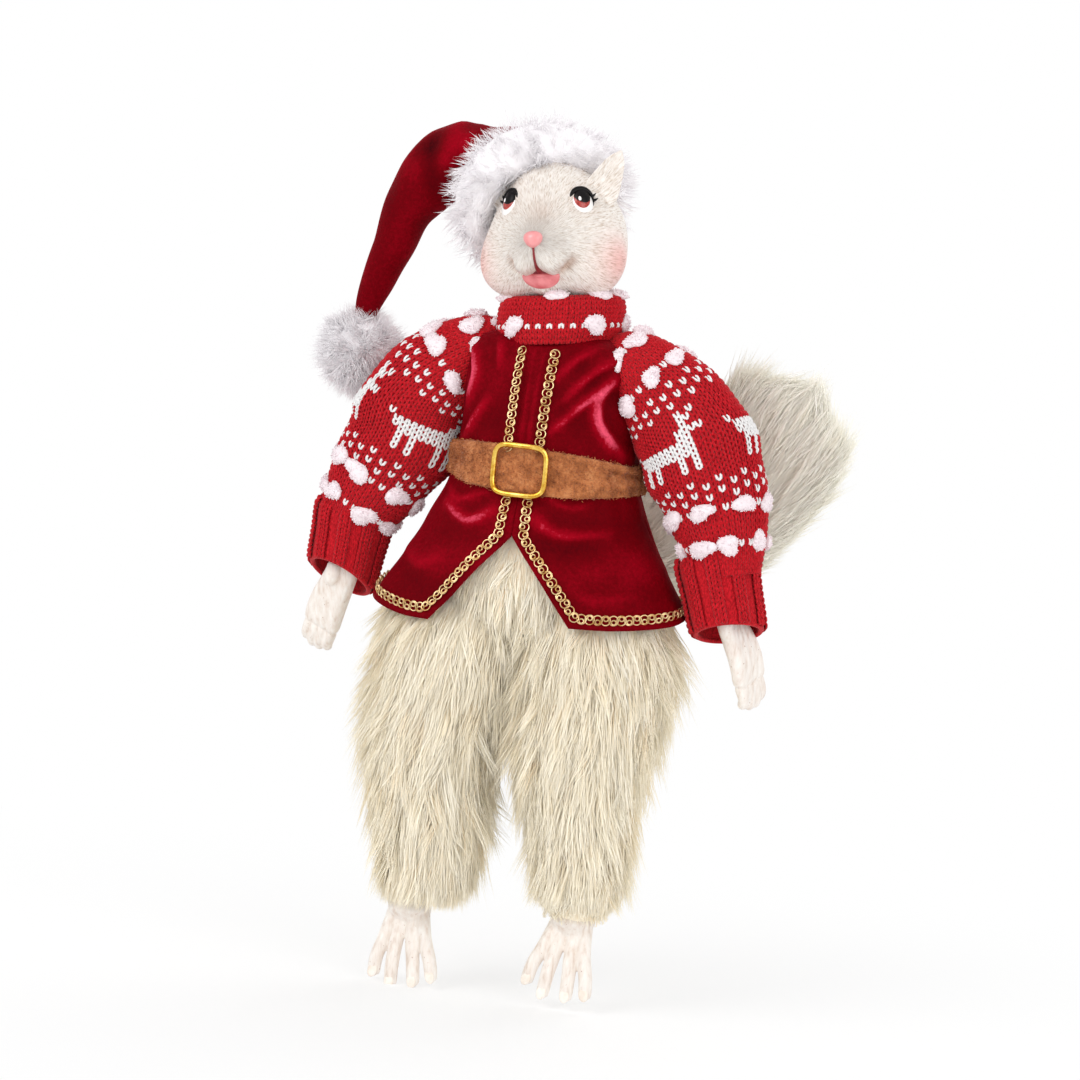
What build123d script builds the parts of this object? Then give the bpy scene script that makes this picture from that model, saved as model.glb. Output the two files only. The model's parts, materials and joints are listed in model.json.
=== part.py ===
"""Posable dressed squirrel doll in a knitted sweater, velvet vest and tasselled hat.

Millimetres, +Z up, the doll faces -Y and its own left is +X. The origin is at the middle of the waist,
level with the belt's mid height, where a doll stand grips it.
"""
import os
from math import cos, pi, radians, sin, tan

from build123d import *

os.makedirs("parts", exist_ok=True)

# Clearances
sew_gap = 0.3
stuffing_gap = 0.8
joint_gap = 0.4
wire_gap = 0.3
bend_margin = 1.5

# Vest, belt and braid
waist_half_width = 48.5
waist_half_depth = 41.5
hem_half_width = 82.0
hem_half_depth = 62.0
neck_half_width = 24.0
neck_half_depth = 25.0
neck_height = 66.0
skirt_length = 84.0
skirt_flare_power = 1.27
vest_cloth = 3.0
seam_drop = 4.0
slit_top_drop = 34.0
slit_half_width = 40.0
tail_vent_half_width = 27.0
tail_vent_top_drop = 34.0
belt_width = 24.0
belt_cloth = 2.5
buckle_width = 31.0
buckle_height = 27.0
buckle_wire = 3.0
buckle_corner = 6.0
braid_width = 5.2
braid_height = 1.2
braid_spacing = 16.0
braid_inset = 2.0

# Stuffed body and its wire
core_bottom_drop = 60.0
wire_radius = 1.5

# Neck, collar and head
collar_radius = 33.0
collar_bore_radius = 19.5
collar_height = 22.0
collar_lift = 0.8
neck_radius = 15.5
neck_plug_length = 19.0
neck_tie_radius = 1.2
head_tilt = 7.0
head_yaw = 8.0
head_lift = 11.5
skull_radius = 35.0
skull_rise = 36.0
cheek_half_width = 40.5
cheek_radius = 24.0
cheek_rise = 21.0
cheek_ahead = -7.0
muzzle_radius = 14.0
muzzle_rise = 20.0
muzzle_ahead = -31.0
nose_radius = 4.8
nose_rise = 29.0
ear_length = 26.0
ear_radius = 8.0
ear_tip_radius = 2.5
ear_offset = 22.0
ear_ahead = -9.0
ear_rise = 54.0
ear_splay = 25.0

# Hat
brim_ring_radius = 42.0
brim_fur_radius = 11.5
crown_radius = 40.0
fold_radius = 19.0
tip_end_radius = 7.0
pompom_radius = 25.0
hat_fold = Vector(-89.0, 15.0, 160.0)
pompom_center = Vector(-118.0, 30.0, 49.0)

# Arms
shoulder = Vector(48.0, 0.0, 60.0)
elbow = Vector(84.0, 0.0, 7.0)
wrist = Vector(106.0, 0.0, -69.0)
shoulder_radius = 20.0
elbow_radius = 25.0
sleeve_end_radius = 23.5
sleeve_swell = 2.0
cuff_radius = 20.0
cuff_length = 40.0
cuff_overhang = 4.0
elbow_bend = 60.0
hand_length = 49.0
hand_width = 19.0
hand_thickness = 9.0
hand_stem_radius = 8.0
hand_stem_length = 20.0
finger_width = 5.0
hand_turns = {"left": 20.0, "right": 60.0}

# Legs
hip = Vector(36.0, 0.0, -67.0)
knee = Vector(42.0, 0.0, -149.0)
ankle = Vector(45.0, 0.0, -243.0)
hip_radius = 30.0
thigh_radius = 36.0
knee_radius = 34.0
shin_radius = 34.5
shin_end_radius = 28.0
fur_end_height = -235.0
hip_bend = 85.0
hip_back_bend = 15.0
knee_bend = 80.0
ankle_ball_radius = 11.0
foot_tilt = 15.0
foot_length = 37.0
foot_thickness = 8.0
instep_half_width = 13.0
toe_width = 6.4
toe_length = 23.0
toe_spread = 30.0

# Tail
tail_root = Vector(0.0, 44.0, -58.0)
tail_root_radius = 15.0
tail_half_width = 42.0
tail_half_thickness = 20.0
tail_bend = Vector(52.0, 104.0, -44.0)
tail_tip = Vector(106.0, 104.0, 60.0)

up = Vector(0, 0, 1)
forward = Vector(0, -1, 0)
backward = Vector(0, 1, 0)
sides = {"left": 1.0, "right": -1.0}
reach = 300.0


def save(part, name):
    part.label = name
    export_step(part, f"parts/{name}.step")


def on_side(point, side):
    return Vector(sides[side] * point.X, point.Y, point.Z)


def oval(plane, half_width, half_depth):
    """Ellipse in four quarter arcs, ready to loft."""
    with BuildSketch(plane) as section:
        with BuildLine():
            for quarter in range(4):
                EllipticalCenterArc((0, 0), half_width, half_depth, 90 * quarter, arc_size=90)
        make_face()
    return section.sketch


def bend_plane(center, direction, bend_side, angle, gap):
    """Plane across a limb at a joint, leaning back on the side that closes when the joint bends."""
    normal = direction * cos(radians(angle)) - bend_side * sin(radians(angle))
    return Plane(origin=center + direction * gap, z_dir=normal)


# Vest: one oval form shared by every layer of cloth on it

def vest_half(height, at_waist, at_hem, at_neck):
    if height < 0:
        return at_waist + (at_hem - at_waist) * (-height / skirt_length) ** skirt_flare_power
    return at_neck + (at_waist - at_neck) * (1 + cos(pi * min(height / neck_height, 1))) / 2


skirt_bands = 6
bodice_bands = 8
vest_levels = [-skirt_length * band / skirt_bands for band in range(skirt_bands + 1, 0, -1)]
vest_levels += [neck_height * band / bodice_bands for band in range(bodice_bands + 2)]


def vest_form(grow):
    sections = []
    for level in vest_levels:
        half_width = vest_half(level, waist_half_width, hem_half_width, neck_half_width) + grow
        half_depth = vest_half(level, waist_half_depth, hem_half_depth, neck_half_depth) + grow
        sections.append(oval(Plane.XY.offset(level), half_width, half_depth))
    with BuildPart() as form:
        loft(sections, ruled=True)
    return form.part


def cloth_layer(inside, outside, bottom, top):
    """Layer that follows the vest between two distances from its outer face and two heights."""
    with BuildPart() as layer:
        add(vest_form(outside))
        add(vest_form(inside), mode=Mode.SUBTRACT)
        with Locations((0, 0, (bottom + top) / 2)):
            Box(reach, reach, top - bottom, mode=Mode.INTERSECT)
    return layer.part


belt_top = belt_width / 2
seam_height = -seam_drop
trim_inside = sew_gap
trim_outside = sew_gap + braid_height

with BuildPart() as vest_bodice:
    add(cloth_layer(-vest_cloth, 0, seam_height, neck_height))
    for side in sides:
        with Locations(on_side(shoulder, side)):
            Sphere(shoulder_radius + joint_gap, mode=Mode.SUBTRACT)
save(vest_bodice.part, "vest_bodice")

with BuildPart() as belt_strap:
    add(cloth_layer(sew_gap, sew_gap + belt_cloth, -belt_top, belt_top))
save(belt_strap.part, "belt_strap")

for side, sign in sides.items():
    with BuildPart() as front_braid:
        add(cloth_layer(trim_inside, trim_outside, belt_top + sew_gap, neck_height - braid_inset))
        with Locations((sign * braid_spacing / 2, -reach / 2, 0)):
            Box(braid_width, reach, reach, mode=Mode.INTERSECT)
    save(front_braid.part, f"front_braid_{side}")

# Skirt: a back panel with a vent for the tail, and two front flaps that part in a V
slit_slope = slit_half_width / (skirt_length - slit_top_drop)


def flap_outline(plane, sign, inset, strip):
    """Front face of one flap, seen from the front, or the strip of braid along its slit and hem."""
    top = seam_height - sew_gap
    low = -skirt_length
    far = hem_half_width + braid_width
    near = sew_gap + inset
    slit_inset = inset * (1 + slit_slope ** 2) ** 0.5
    corner = slit_half_width + near + slit_inset - inset * slit_slope
    with BuildSketch(plane) as outline:
        with BuildLine():
            Polyline(
                (sign * near, top),
                (sign * near, -slit_top_drop + inset),
                (sign * corner, low + inset),
                (sign * far, low + inset),
                (sign * far, top),
                close=True,
            )
        make_face()
        if strip:
            with BuildLine():
                inner = inset + braid_width
                inner_corner = slit_half_width + inner * (1 + slit_slope ** 2) ** 0.5 - inner * slit_slope
                Polyline(
                    (sign * (near + braid_width), top + braid_width),
                    (sign * (near + braid_width), -slit_top_drop + inner),
                    (sign * (inner_corner + sew_gap), low + inner),
                    (sign * (far + braid_width), low + inner),
                    (sign * (far + braid_width), top + braid_width),
                    close=True,
                )
            make_face(mode=Mode.SUBTRACT)
    return outline.sketch


for side, sign in sides.items():
    with BuildPart() as vest_flap:
        add(cloth_layer(-vest_cloth, 0, -skirt_length, seam_height - sew_gap))
        extrude(flap_outline(Plane.XZ.offset(sew_gap), sign, 0, False), amount=reach, mode=Mode.INTERSECT)
    save(vest_flap.part, f"vest_flap_{side}")

    with BuildPart() as flap_braid:
        add(cloth_layer(trim_inside, trim_outside, -skirt_length, -belt_top - sew_gap))
        strip = flap_outline(Plane.XZ.offset(sew_gap), sign, braid_inset, True)
        extrude(strip, amount=reach, mode=Mode.INTERSECT)
    save(flap_braid.part, f"flap_braid_{side}")


def back_layer(inside, outside, bottom, top):
    """Back half of a layer of the skirt, with the tail's vent cut out of it."""
    with BuildPart() as layer:
        add(cloth_layer(inside, outside, bottom, top))
        with Locations((0, reach / 2 + sew_gap, 0)):
            Box(reach, reach, reach, mode=Mode.INTERSECT)
        with Locations((0, reach / 2, -tail_vent_top_drop - reach / 2)):
            Box(2 * tail_vent_half_width, reach, reach, mode=Mode.SUBTRACT)
    return layer.part


save(back_layer(-vest_cloth, 0, -skirt_length, seam_height - sew_gap), "vest_back_skirt")
hem_low = -skirt_length + braid_inset
save(back_layer(trim_inside, trim_outside, hem_low, hem_low + braid_width), "back_hem_braid")

# Buckle: a slide frame that lies on the belt's front
belt_low_depth = vest_half(-belt_top, waist_half_depth, hem_half_depth, neck_half_depth)
belt_front = belt_low_depth + sew_gap + belt_cloth
with BuildPart() as belt_buckle:
    with BuildSketch(Plane.XZ.offset(belt_front + sew_gap)):
        RectangleRounded(buckle_width, buckle_height, buckle_corner)
        RectangleRounded(
            buckle_width - 2 * buckle_wire,
            buckle_height - 2 * buckle_wire,
            buckle_corner - buckle_wire,
            mode=Mode.SUBTRACT,
        )
    extrude(amount=buckle_wire)
    rims = belt_buckle.edges().filter_by(Plane.XZ)
    fillet(rims, buckle_wire * 0.3)
save(belt_buckle.part, "belt_buckle")

# Stuffed body: sockets for shoulders, hips and tail, and a wire up the middle
core_half_width = waist_half_width - vest_cloth - stuffing_gap
core_half_depth = waist_half_depth - vest_cloth - stuffing_gap
core_levels = [-core_bottom_drop]
core_levels += [neck_height * band / bodice_bands for band in range(bodice_bands + 1)]

with BuildPart() as body_core:
    core_sections = []
    for level in core_levels:
        half_width = core_half_width
        half_depth = core_half_depth
        if level > 0:
            half_width = vest_half(level, core_half_width, 0, neck_half_width - vest_cloth - stuffing_gap)
            half_depth = vest_half(level, core_half_depth, 0, neck_half_depth - vest_cloth - stuffing_gap)
        core_sections.append(oval(Plane.XY.offset(level), half_width, half_depth))
    loft(core_sections, ruled=True)
    with BuildSketch(Plane.YZ):
        with BuildLine():
            front_rise = reach * tan(radians(hip_bend / 2 + bend_margin))
            back_rise = reach * tan(radians(hip_back_bend + bend_margin))
            Polyline(
                (0, hip.Z),
                (-reach, hip.Z + front_rise),
                (-reach, hip.Z - reach),
                (reach, hip.Z - reach),
                (reach, hip.Z + back_rise),
                close=True,
            )
        make_face()
    extrude(amount=reach, both=True, mode=Mode.SUBTRACT)
    for side in sides:
        with Locations(on_side(shoulder, side)):
            Sphere(shoulder_radius + joint_gap, mode=Mode.SUBTRACT)
        with Locations(on_side(hip, side)):
            Sphere(hip_radius + joint_gap, mode=Mode.SUBTRACT)
    with Locations(tail_root):
        Sphere(tail_root_radius + joint_gap, mode=Mode.SUBTRACT)
    Cylinder(wire_radius + wire_gap, reach, mode=Mode.SUBTRACT)
save(body_core.part, "body_core")

# Neck and head: built on a frame that leans and turns with the head
collar_bottom = neck_height + collar_lift
neck_pivot = Vector(0, 0, collar_bottom + collar_height / 2)
tilt = radians(head_tilt)
head_up = Vector(-sin(tilt), 0, cos(tilt))
head_side = Vector(cos(tilt), 0, sin(tilt)) * cos(radians(head_yaw)) + backward * sin(radians(head_yaw))
head_frame = Plane(origin=neck_pivot, x_dir=head_side, z_dir=head_up)


def on_head(x, y, z):
    return head_frame.from_local_coords(Vector(x, y, z))


def head_spot(x, y, z):
    return Plane(origin=on_head(x, y, z), x_dir=head_side, z_dir=head_up)


with BuildPart() as spine_wire:
    with Locations((0, 0, -core_bottom_drop / 2)):
        wire_length = core_bottom_drop / 2 + neck_pivot.Z - 2 * wire_radius
        Cylinder(wire_radius, wire_length, align=(Align.CENTER, Align.CENTER, Align.MIN))
save(spine_wire.part, "spine_wire")

with BuildPart() as collar:
    with BuildSketch(Plane.XY.offset(collar_bottom)):
        Circle(collar_radius)
        Circle(collar_bore_radius, mode=Mode.SUBTRACT)
    extrude(amount=2 * collar_height)
    top_plane = Plane(origin=on_head(0, 0, head_lift - 2 * sew_gap), z_dir=head_up)
    split(bisect_by=top_plane, keep=Keep.BOTTOM)
    for side in sides:
        with Locations(on_side(shoulder, side)):
            Sphere(shoulder_radius + joint_gap, mode=Mode.SUBTRACT)
save(collar.part, "collar")

with BuildPart() as neck_tie:
    with Locations(Plane(origin=on_head(0, 0, -neck_plug_length / 6), z_dir=head_up)):
        Torus(neck_radius + joint_gap + neck_tie_radius, neck_tie_radius)
save(neck_tie.part, "neck_tie")

def head_form(grow):
    """Cast head: skull, two full cheeks and a muzzle, flat underneath, with both ears."""
    with BuildPart() as form:
        with Locations(head_spot(0, 0, head_lift + skull_rise)):
            Sphere(skull_radius + grow)
        for sign in sides.values():
            cheek_x = sign * (cheek_half_width - cheek_radius)
            with Locations(head_spot(cheek_x, cheek_ahead, head_lift + cheek_rise)):
                Sphere(cheek_radius + grow)
        with Locations(head_spot(0, muzzle_ahead, head_lift + muzzle_rise)):
            Sphere(muzzle_radius + grow)
        with Locations(head_spot(0, 0, head_lift - grow - reach / 2)):
            Box(reach, reach, reach, mode=Mode.SUBTRACT)
        for sign in sides.values():
            ear_root = on_head(sign * ear_offset, ear_ahead, head_lift + ear_rise)
            ear_up = head_up * cos(radians(ear_splay)) + head_side * sign * sin(radians(ear_splay))
            with Locations(Plane(origin=ear_root, z_dir=ear_up)):
                Cone(ear_radius + grow, ear_tip_radius + grow, ear_length + grow,
                     align=(Align.CENTER, Align.CENTER, Align.MIN))
    return form.part


brim_center = on_head(-8.0, 11.0, head_lift + 45.5)
brim_axis = (head_side * -0.367 + head_frame.y_dir * 0.691 + head_up * 0.623).normalized()
brim_plane = Plane(origin=brim_center, z_dir=brim_axis)
tip_end = pompom_center + (hat_fold - pompom_center).normalized() * pompom_radius * 0.6
tip_direction = (tip_end - hat_fold).normalized()


def tip_form(grow):
    """Drooping end of the hat: a round fold that narrows towards the pompom."""
    length = (tip_end - hat_fold).length
    with BuildPart() as form:
        with Locations(hat_fold):
            Sphere(fold_radius + grow)
        with Locations(Plane(origin=hat_fold, z_dir=tip_direction)):
            Cone(fold_radius + grow, tip_end_radius + grow, length + grow,
                 align=(Align.CENTER, Align.CENTER, Align.MIN))
    return form.part


with BuildPart() as head:
    add(head_form(0))
    with Locations(head_spot(0, muzzle_ahead - muzzle_radius + nose_radius / 3, head_lift + nose_rise)):
        Sphere(nose_radius)
    with Locations(Plane(origin=on_head(0, 0, head_lift + 1), z_dir=-head_up)):
        Cylinder(neck_radius, neck_plug_length + 1, align=(Align.CENTER, Align.CENTER, Align.MIN))
    with Locations(Plane(origin=on_head(0, 0, 0), z_dir=-head_up)):
        Cylinder(2 * wire_radius, neck_plug_length, align=(Align.CENTER, Align.CENTER, Align.MIN),
                 mode=Mode.SUBTRACT)
save(head.part, "head")

with BuildPart() as hat_brim:
    with Locations(brim_plane):
        Torus(brim_ring_radius, brim_fur_radius)
    add(head_form(joint_gap), mode=Mode.SUBTRACT)
save(hat_brim.part, "hat_brim")

with BuildPart() as hat_crown:
    with Locations(brim_center):
        Sphere(crown_radius)
    split(bisect_by=brim_plane, keep=Keep.TOP)
    cone_direction = (hat_fold - brim_center).normalized()
    with Locations(Plane(origin=brim_center + cone_direction * crown_radius * 0.3, z_dir=cone_direction)):
        Cone(crown_radius * 0.8, fold_radius, (hat_fold - brim_center).length - crown_radius * 0.3,
             align=(Align.CENTER, Align.CENTER, Align.MIN))
    add(head_form(joint_gap), mode=Mode.SUBTRACT)
    with Locations(brim_plane):
        Torus(brim_ring_radius, brim_fur_radius + sew_gap, mode=Mode.SUBTRACT)
    add(tip_form(joint_gap), mode=Mode.SUBTRACT)
save(hat_crown.part.solids().sort_by(SortBy.VOLUME)[-1], "hat_crown")

save(tip_form(0), "hat_tip")

with BuildPart() as hat_pompom:
    with Locations(pompom_center):
        Sphere(pompom_radius)
    add(tip_form(sew_gap), mode=Mode.SUBTRACT)
save(hat_pompom.part, "hat_pompom")

# Limbs: round tapered lengths with ball ends


def limb_plane(start, direction):
    return Plane(origin=start, x_dir=backward, z_dir=backward.cross(direction))


def tapered(start, direction, length, first, middle, last):
    """Round limb along a direction whose radius runs through three values in one curve."""
    with BuildPart() as limb:
        with BuildSketch(limb_plane(start, direction)):
            with BuildLine():
                Line((0, 0), (first, 0))
                Spline((first, 0), (middle, length / 2), (last, length))
                Line((last, length), (0, length))
                Line((0, length), (0, 0))
            make_face()
        revolve(axis=Axis(start, direction))
    return limb.part


def rod(start, direction, length, radius):
    with BuildPart() as bar:
        with Locations(Plane(origin=start, z_dir=direction)):
            Cylinder(radius, length, align=(Align.CENTER, Align.CENTER, Align.MIN))
    return bar.part


def hand_solid(side, center, direction):
    """Cast hand: a slim palm, four fingers and a thumb, on a stem that plugs into the cuff."""
    sign = sides[side]
    palm_normal = (Vector(sign, 0, 0) * cos(radians(hand_turns[side]))
                   + forward * sin(radians(hand_turns[side])))
    palm_side = direction.cross(palm_normal)
    palm_plane = Plane(origin=center, x_dir=palm_side, z_dir=palm_side.cross(-direction))
    finger_length = hand_length * 0.5
    with BuildPart() as hand:
        with BuildSketch(palm_plane):
            with Locations((0, -hand_length * 0.26)):
                Ellipse(hand_width / 2, hand_length * 0.32)
            for finger in range(4):
                spread = (finger - 1.5) / 1.5
                reach_down = hand_length - finger_length / 2 - abs(spread) * finger_width / 2
                with Locations(Location((spread * hand_width * 0.36, -reach_down), 90 + 6 * spread)):
                    SlotOverall(finger_length, finger_width)
            with Locations(Location((hand_width * 0.5, -hand_length * 0.46), 68)):
                SlotOverall(finger_length * 0.8, finger_width)
        extrude(amount=hand_thickness / 2, both=True)
        with Locations(Plane(origin=center, z_dir=-direction)):
            Cylinder(hand_stem_radius, hand_stem_length, align=(Align.CENTER, Align.CENTER, Align.MIN))
        with Locations(center):
            Sphere(hand_stem_radius)
    return hand.part


for side in sides:
    arm_top = on_side(shoulder, side)
    arm_bend = on_side(elbow, side)
    arm_end = on_side(wrist, side)
    upper_length = (arm_bend - arm_top).length
    upper_way = (arm_bend - arm_top).normalized()
    lower_length = (arm_end - arm_bend).length
    lower_way = (arm_end - arm_bend).normalized()
    bend_way = (upper_way + lower_way).normalized()
    half_bend = elbow_bend / 2 + bend_margin
    cuff_start = lower_length + cuff_overhang - cuff_length
    upper_middle = (shoulder_radius + elbow_radius) / 2 + sleeve_swell

    with BuildPart() as upper_sleeve:
        add(tapered(arm_top, upper_way, upper_length, shoulder_radius, upper_middle, elbow_radius - 0.5))
        split(bisect_by=bend_plane(arm_bend, -bend_way, forward, half_bend, joint_gap), keep=Keep.TOP)
        with Locations(arm_bend):
            Sphere(elbow_radius + joint_gap, mode=Mode.SUBTRACT)
        with Locations(arm_top):
            Sphere(shoulder_radius)
        add(rod(arm_top, upper_way, reach, wire_radius + wire_gap), mode=Mode.SUBTRACT)
    save(upper_sleeve.part, f"upper_sleeve_{side}")
    save(rod(arm_top + upper_way * wire_gap, upper_way, upper_length - elbow_radius - 2, wire_radius),
         f"upper_arm_wire_{side}")

    with BuildPart() as lower_sleeve:
        lower_middle = (elbow_radius + sleeve_end_radius) / 2 + sleeve_swell / 2
        sleeve_length = cuff_start - sew_gap
        add(tapered(arm_bend, lower_way, sleeve_length, elbow_radius, lower_middle, sleeve_end_radius))
        split(bisect_by=bend_plane(arm_bend, bend_way, forward, half_bend, joint_gap), keep=Keep.TOP)
        with Locations(arm_bend):
            Sphere(elbow_radius)
        add(rod(arm_bend, lower_way, reach, wire_radius + wire_gap), mode=Mode.SUBTRACT)
    save(lower_sleeve.part, f"lower_sleeve_{side}")

    with BuildPart() as cuff:
        add(tapered(arm_bend + lower_way * cuff_start, lower_way, cuff_length,
                    cuff_radius, cuff_radius + 1, cuff_radius - 0.5))
        hand_center = arm_bend + lower_way * (cuff_start + cuff_length + hand_stem_radius * 0.5)
        add(rod(hand_center, -lower_way, hand_stem_length + joint_gap, hand_stem_radius + joint_gap),
            mode=Mode.SUBTRACT)
        with Locations(hand_center):
            Sphere(hand_stem_radius + joint_gap, mode=Mode.SUBTRACT)
        add(rod(arm_bend, lower_way, cuff_start + cuff_length, wire_radius + wire_gap), mode=Mode.SUBTRACT)
    save(cuff.part, f"cuff_{side}")
    wire_length = cuff_start + cuff_length + hand_stem_radius * 0.5 - hand_stem_length - 3 * joint_gap
    save(rod(arm_bend + lower_way * wire_gap, lower_way, wire_length - wire_gap, wire_radius),
         f"lower_arm_wire_{side}")
    save(hand_solid(side, hand_center, lower_way), f"hand_{side}")


def foot_solid(center):
    """Cast foot: a flat instep and four long toes that hang from a ball at the ankle."""
    lean = radians(foot_tilt)
    foot_plane = Plane(origin=center, x_dir=(1, 0, 0), z_dir=(0, -cos(lean), sin(lean)))
    with BuildPart() as foot:
        with BuildSketch(foot_plane):
            with Locations((0, -foot_length * 0.3)):
                Ellipse(instep_half_width, foot_length * 0.42)
            for toe in range(4):
                spread = (toe - 1.5) / 1.5
                drop = foot_length - toe_length / 2 - abs(spread) * toe_width / 3
                toe_x = spread * (toe_spread / 2 - toe_width * 0.4)
                with Locations(Location((toe_x, -drop), 90 + 9 * spread)):
                    SlotOverall(toe_length, toe_width)
        extrude(amount=foot_thickness / 2, both=True)
        with Locations(center):
            Sphere(ankle_ball_radius)
    return foot.part


for side in sides:
    leg_top = on_side(hip, side)
    leg_bend = on_side(knee, side)
    leg_end = on_side(ankle, side)
    thigh_length = (leg_bend - leg_top).length
    thigh_way = (leg_bend - leg_top).normalized()
    shin_way = (leg_end - leg_bend).normalized()
    knee_way = (thigh_way + shin_way).normalized()
    half_bend = knee_bend / 2 + bend_margin
    shin_length = (leg_bend.Z - fur_end_height) / -shin_way.Z

    with BuildPart() as thigh:
        add(tapered(leg_top, thigh_way, thigh_length, hip_radius, thigh_radius, knee_radius - 0.5))
        split(bisect_by=bend_plane(leg_top, -up, forward, hip_bend / 2 + bend_margin, 0), keep=Keep.TOP)
        split(bisect_by=bend_plane(leg_bend, -knee_way, backward, half_bend, joint_gap), keep=Keep.TOP)
        with Locations(leg_bend):
            Sphere(knee_radius + joint_gap, mode=Mode.SUBTRACT)
        with Locations(leg_top):
            Sphere(hip_radius)
        add(rod(leg_top, thigh_way, reach, wire_radius + wire_gap), mode=Mode.SUBTRACT)
    save(thigh.part, f"thigh_{side}")
    save(rod(leg_top + thigh_way * wire_gap, thigh_way, thigh_length - knee_radius - 2, wire_radius),
         f"thigh_wire_{side}")

    with BuildPart() as shin:
        add(tapered(leg_bend, shin_way, shin_length, knee_radius, shin_radius, shin_end_radius))
        split(bisect_by=bend_plane(leg_bend, knee_way, backward, half_bend, joint_gap), keep=Keep.TOP)
        with Locations(leg_bend):
            Sphere(knee_radius)
        with Locations(leg_end):
            Sphere(ankle_ball_radius + joint_gap, mode=Mode.SUBTRACT)
        add(rod(leg_bend, shin_way, shin_length, wire_radius + wire_gap), mode=Mode.SUBTRACT)
    save(shin.part, f"shin_{side}")
    shin_wire_length = (leg_end - leg_bend).length - ankle_ball_radius - 3 * joint_gap
    save(rod(leg_bend + shin_way * wire_gap, shin_way, shin_wire_length - wire_gap, wire_radius),
         f"shin_wire_{side}")
    save(foot_solid(leg_end), f"foot_{side}")

# Tail: leaves the back, bends up and fans out
tail_way = (tail_tip - tail_bend).normalized()
tail_side = backward.cross(tail_way)
tail_length = (tail_tip - tail_bend).length


def tail_section(center, direction, across, half_width, half_thickness):
    side_way = (across - direction * across.dot(direction)).normalized()
    return oval(Plane(origin=center, x_dir=side_way, z_dir=direction), half_width, half_thickness)


tail_out = Vector(0.12, 0.99, -0.05).normalized()
tail_turn = (tail_out + tail_way).normalized()
tail_elbow = tail_root + tail_out * (tail_bend.Y - tail_root.Y) * 0.55
with BuildPart() as tail:
    loft([
        tail_section(tail_root + tail_out, tail_out, Vector(1, 0, 0),
                     tail_root_radius * 0.97, tail_root_radius * 0.97),
        tail_section(tail_elbow, (tail_out * 2 + tail_way).normalized(), Vector(1, 0, 0),
                     tail_root_radius * 1.25, tail_root_radius * 1.1),
        tail_section((tail_elbow + tail_bend) / 2 + tail_out * 8, tail_turn, tail_side,
                     tail_half_width * 0.62, tail_half_thickness * 0.95),
        tail_section(tail_bend + tail_way * tail_length * 0.25, tail_way, tail_side,
                     tail_half_width * 0.9, tail_half_thickness),
        tail_section(tail_bend + tail_way * tail_length * 0.65, tail_way, tail_side,
                     tail_half_width, tail_half_thickness),
        tail_section(tail_bend + tail_way * tail_length * 0.92, tail_way, tail_side,
                     tail_half_width * 0.93, tail_half_thickness * 0.75),
        tail_section(tail_tip, tail_way, tail_side,
                     tail_half_width * 0.7, tail_half_thickness * 0.35),
    ])
    with Locations(tail_root):
        Sphere(tail_root_radius)
    add(rod(tail_bend + tail_way * tail_length * 0.2, tail_way, tail_length * 0.65 + 2 * wire_gap,
            wire_radius + wire_gap), mode=Mode.SUBTRACT)
save(tail.part, "tail")
save(rod(tail_bend + tail_way * (tail_length * 0.2 + wire_gap), tail_way, tail_length * 0.65, wire_radius),
     "tail_wire")
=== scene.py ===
"""Looks of the posable squirrel doll: cast head, plush legs and tail, knitted sweater, vest and hat."""
import json
import math

import bpy
import numpy as np
from mathutils import Matrix, Vector, noise


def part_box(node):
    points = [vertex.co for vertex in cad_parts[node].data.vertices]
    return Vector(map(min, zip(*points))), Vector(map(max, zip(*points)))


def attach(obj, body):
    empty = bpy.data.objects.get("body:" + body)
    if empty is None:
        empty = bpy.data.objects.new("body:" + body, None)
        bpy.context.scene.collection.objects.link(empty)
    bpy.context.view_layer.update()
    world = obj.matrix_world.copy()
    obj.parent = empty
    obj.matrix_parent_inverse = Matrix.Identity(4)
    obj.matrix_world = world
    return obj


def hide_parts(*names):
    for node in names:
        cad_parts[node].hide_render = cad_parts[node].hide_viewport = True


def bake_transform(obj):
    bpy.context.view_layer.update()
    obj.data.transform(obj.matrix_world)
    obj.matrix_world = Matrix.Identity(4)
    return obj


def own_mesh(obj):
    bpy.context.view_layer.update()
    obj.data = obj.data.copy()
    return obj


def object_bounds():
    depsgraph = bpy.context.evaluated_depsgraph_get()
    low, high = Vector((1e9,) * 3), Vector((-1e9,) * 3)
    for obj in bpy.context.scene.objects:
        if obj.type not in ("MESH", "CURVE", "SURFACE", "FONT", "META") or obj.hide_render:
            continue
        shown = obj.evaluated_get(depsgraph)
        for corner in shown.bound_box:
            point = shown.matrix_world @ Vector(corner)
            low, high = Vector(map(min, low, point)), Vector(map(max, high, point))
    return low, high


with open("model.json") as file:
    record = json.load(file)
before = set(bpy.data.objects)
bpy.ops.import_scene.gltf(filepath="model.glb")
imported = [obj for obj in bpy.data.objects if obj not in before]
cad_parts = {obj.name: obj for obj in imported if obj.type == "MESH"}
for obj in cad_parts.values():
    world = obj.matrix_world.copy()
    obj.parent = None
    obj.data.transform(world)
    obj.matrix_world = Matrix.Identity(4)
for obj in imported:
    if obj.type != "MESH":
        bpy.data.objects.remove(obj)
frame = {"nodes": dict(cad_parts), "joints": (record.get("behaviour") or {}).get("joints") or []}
cad_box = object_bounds()

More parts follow.
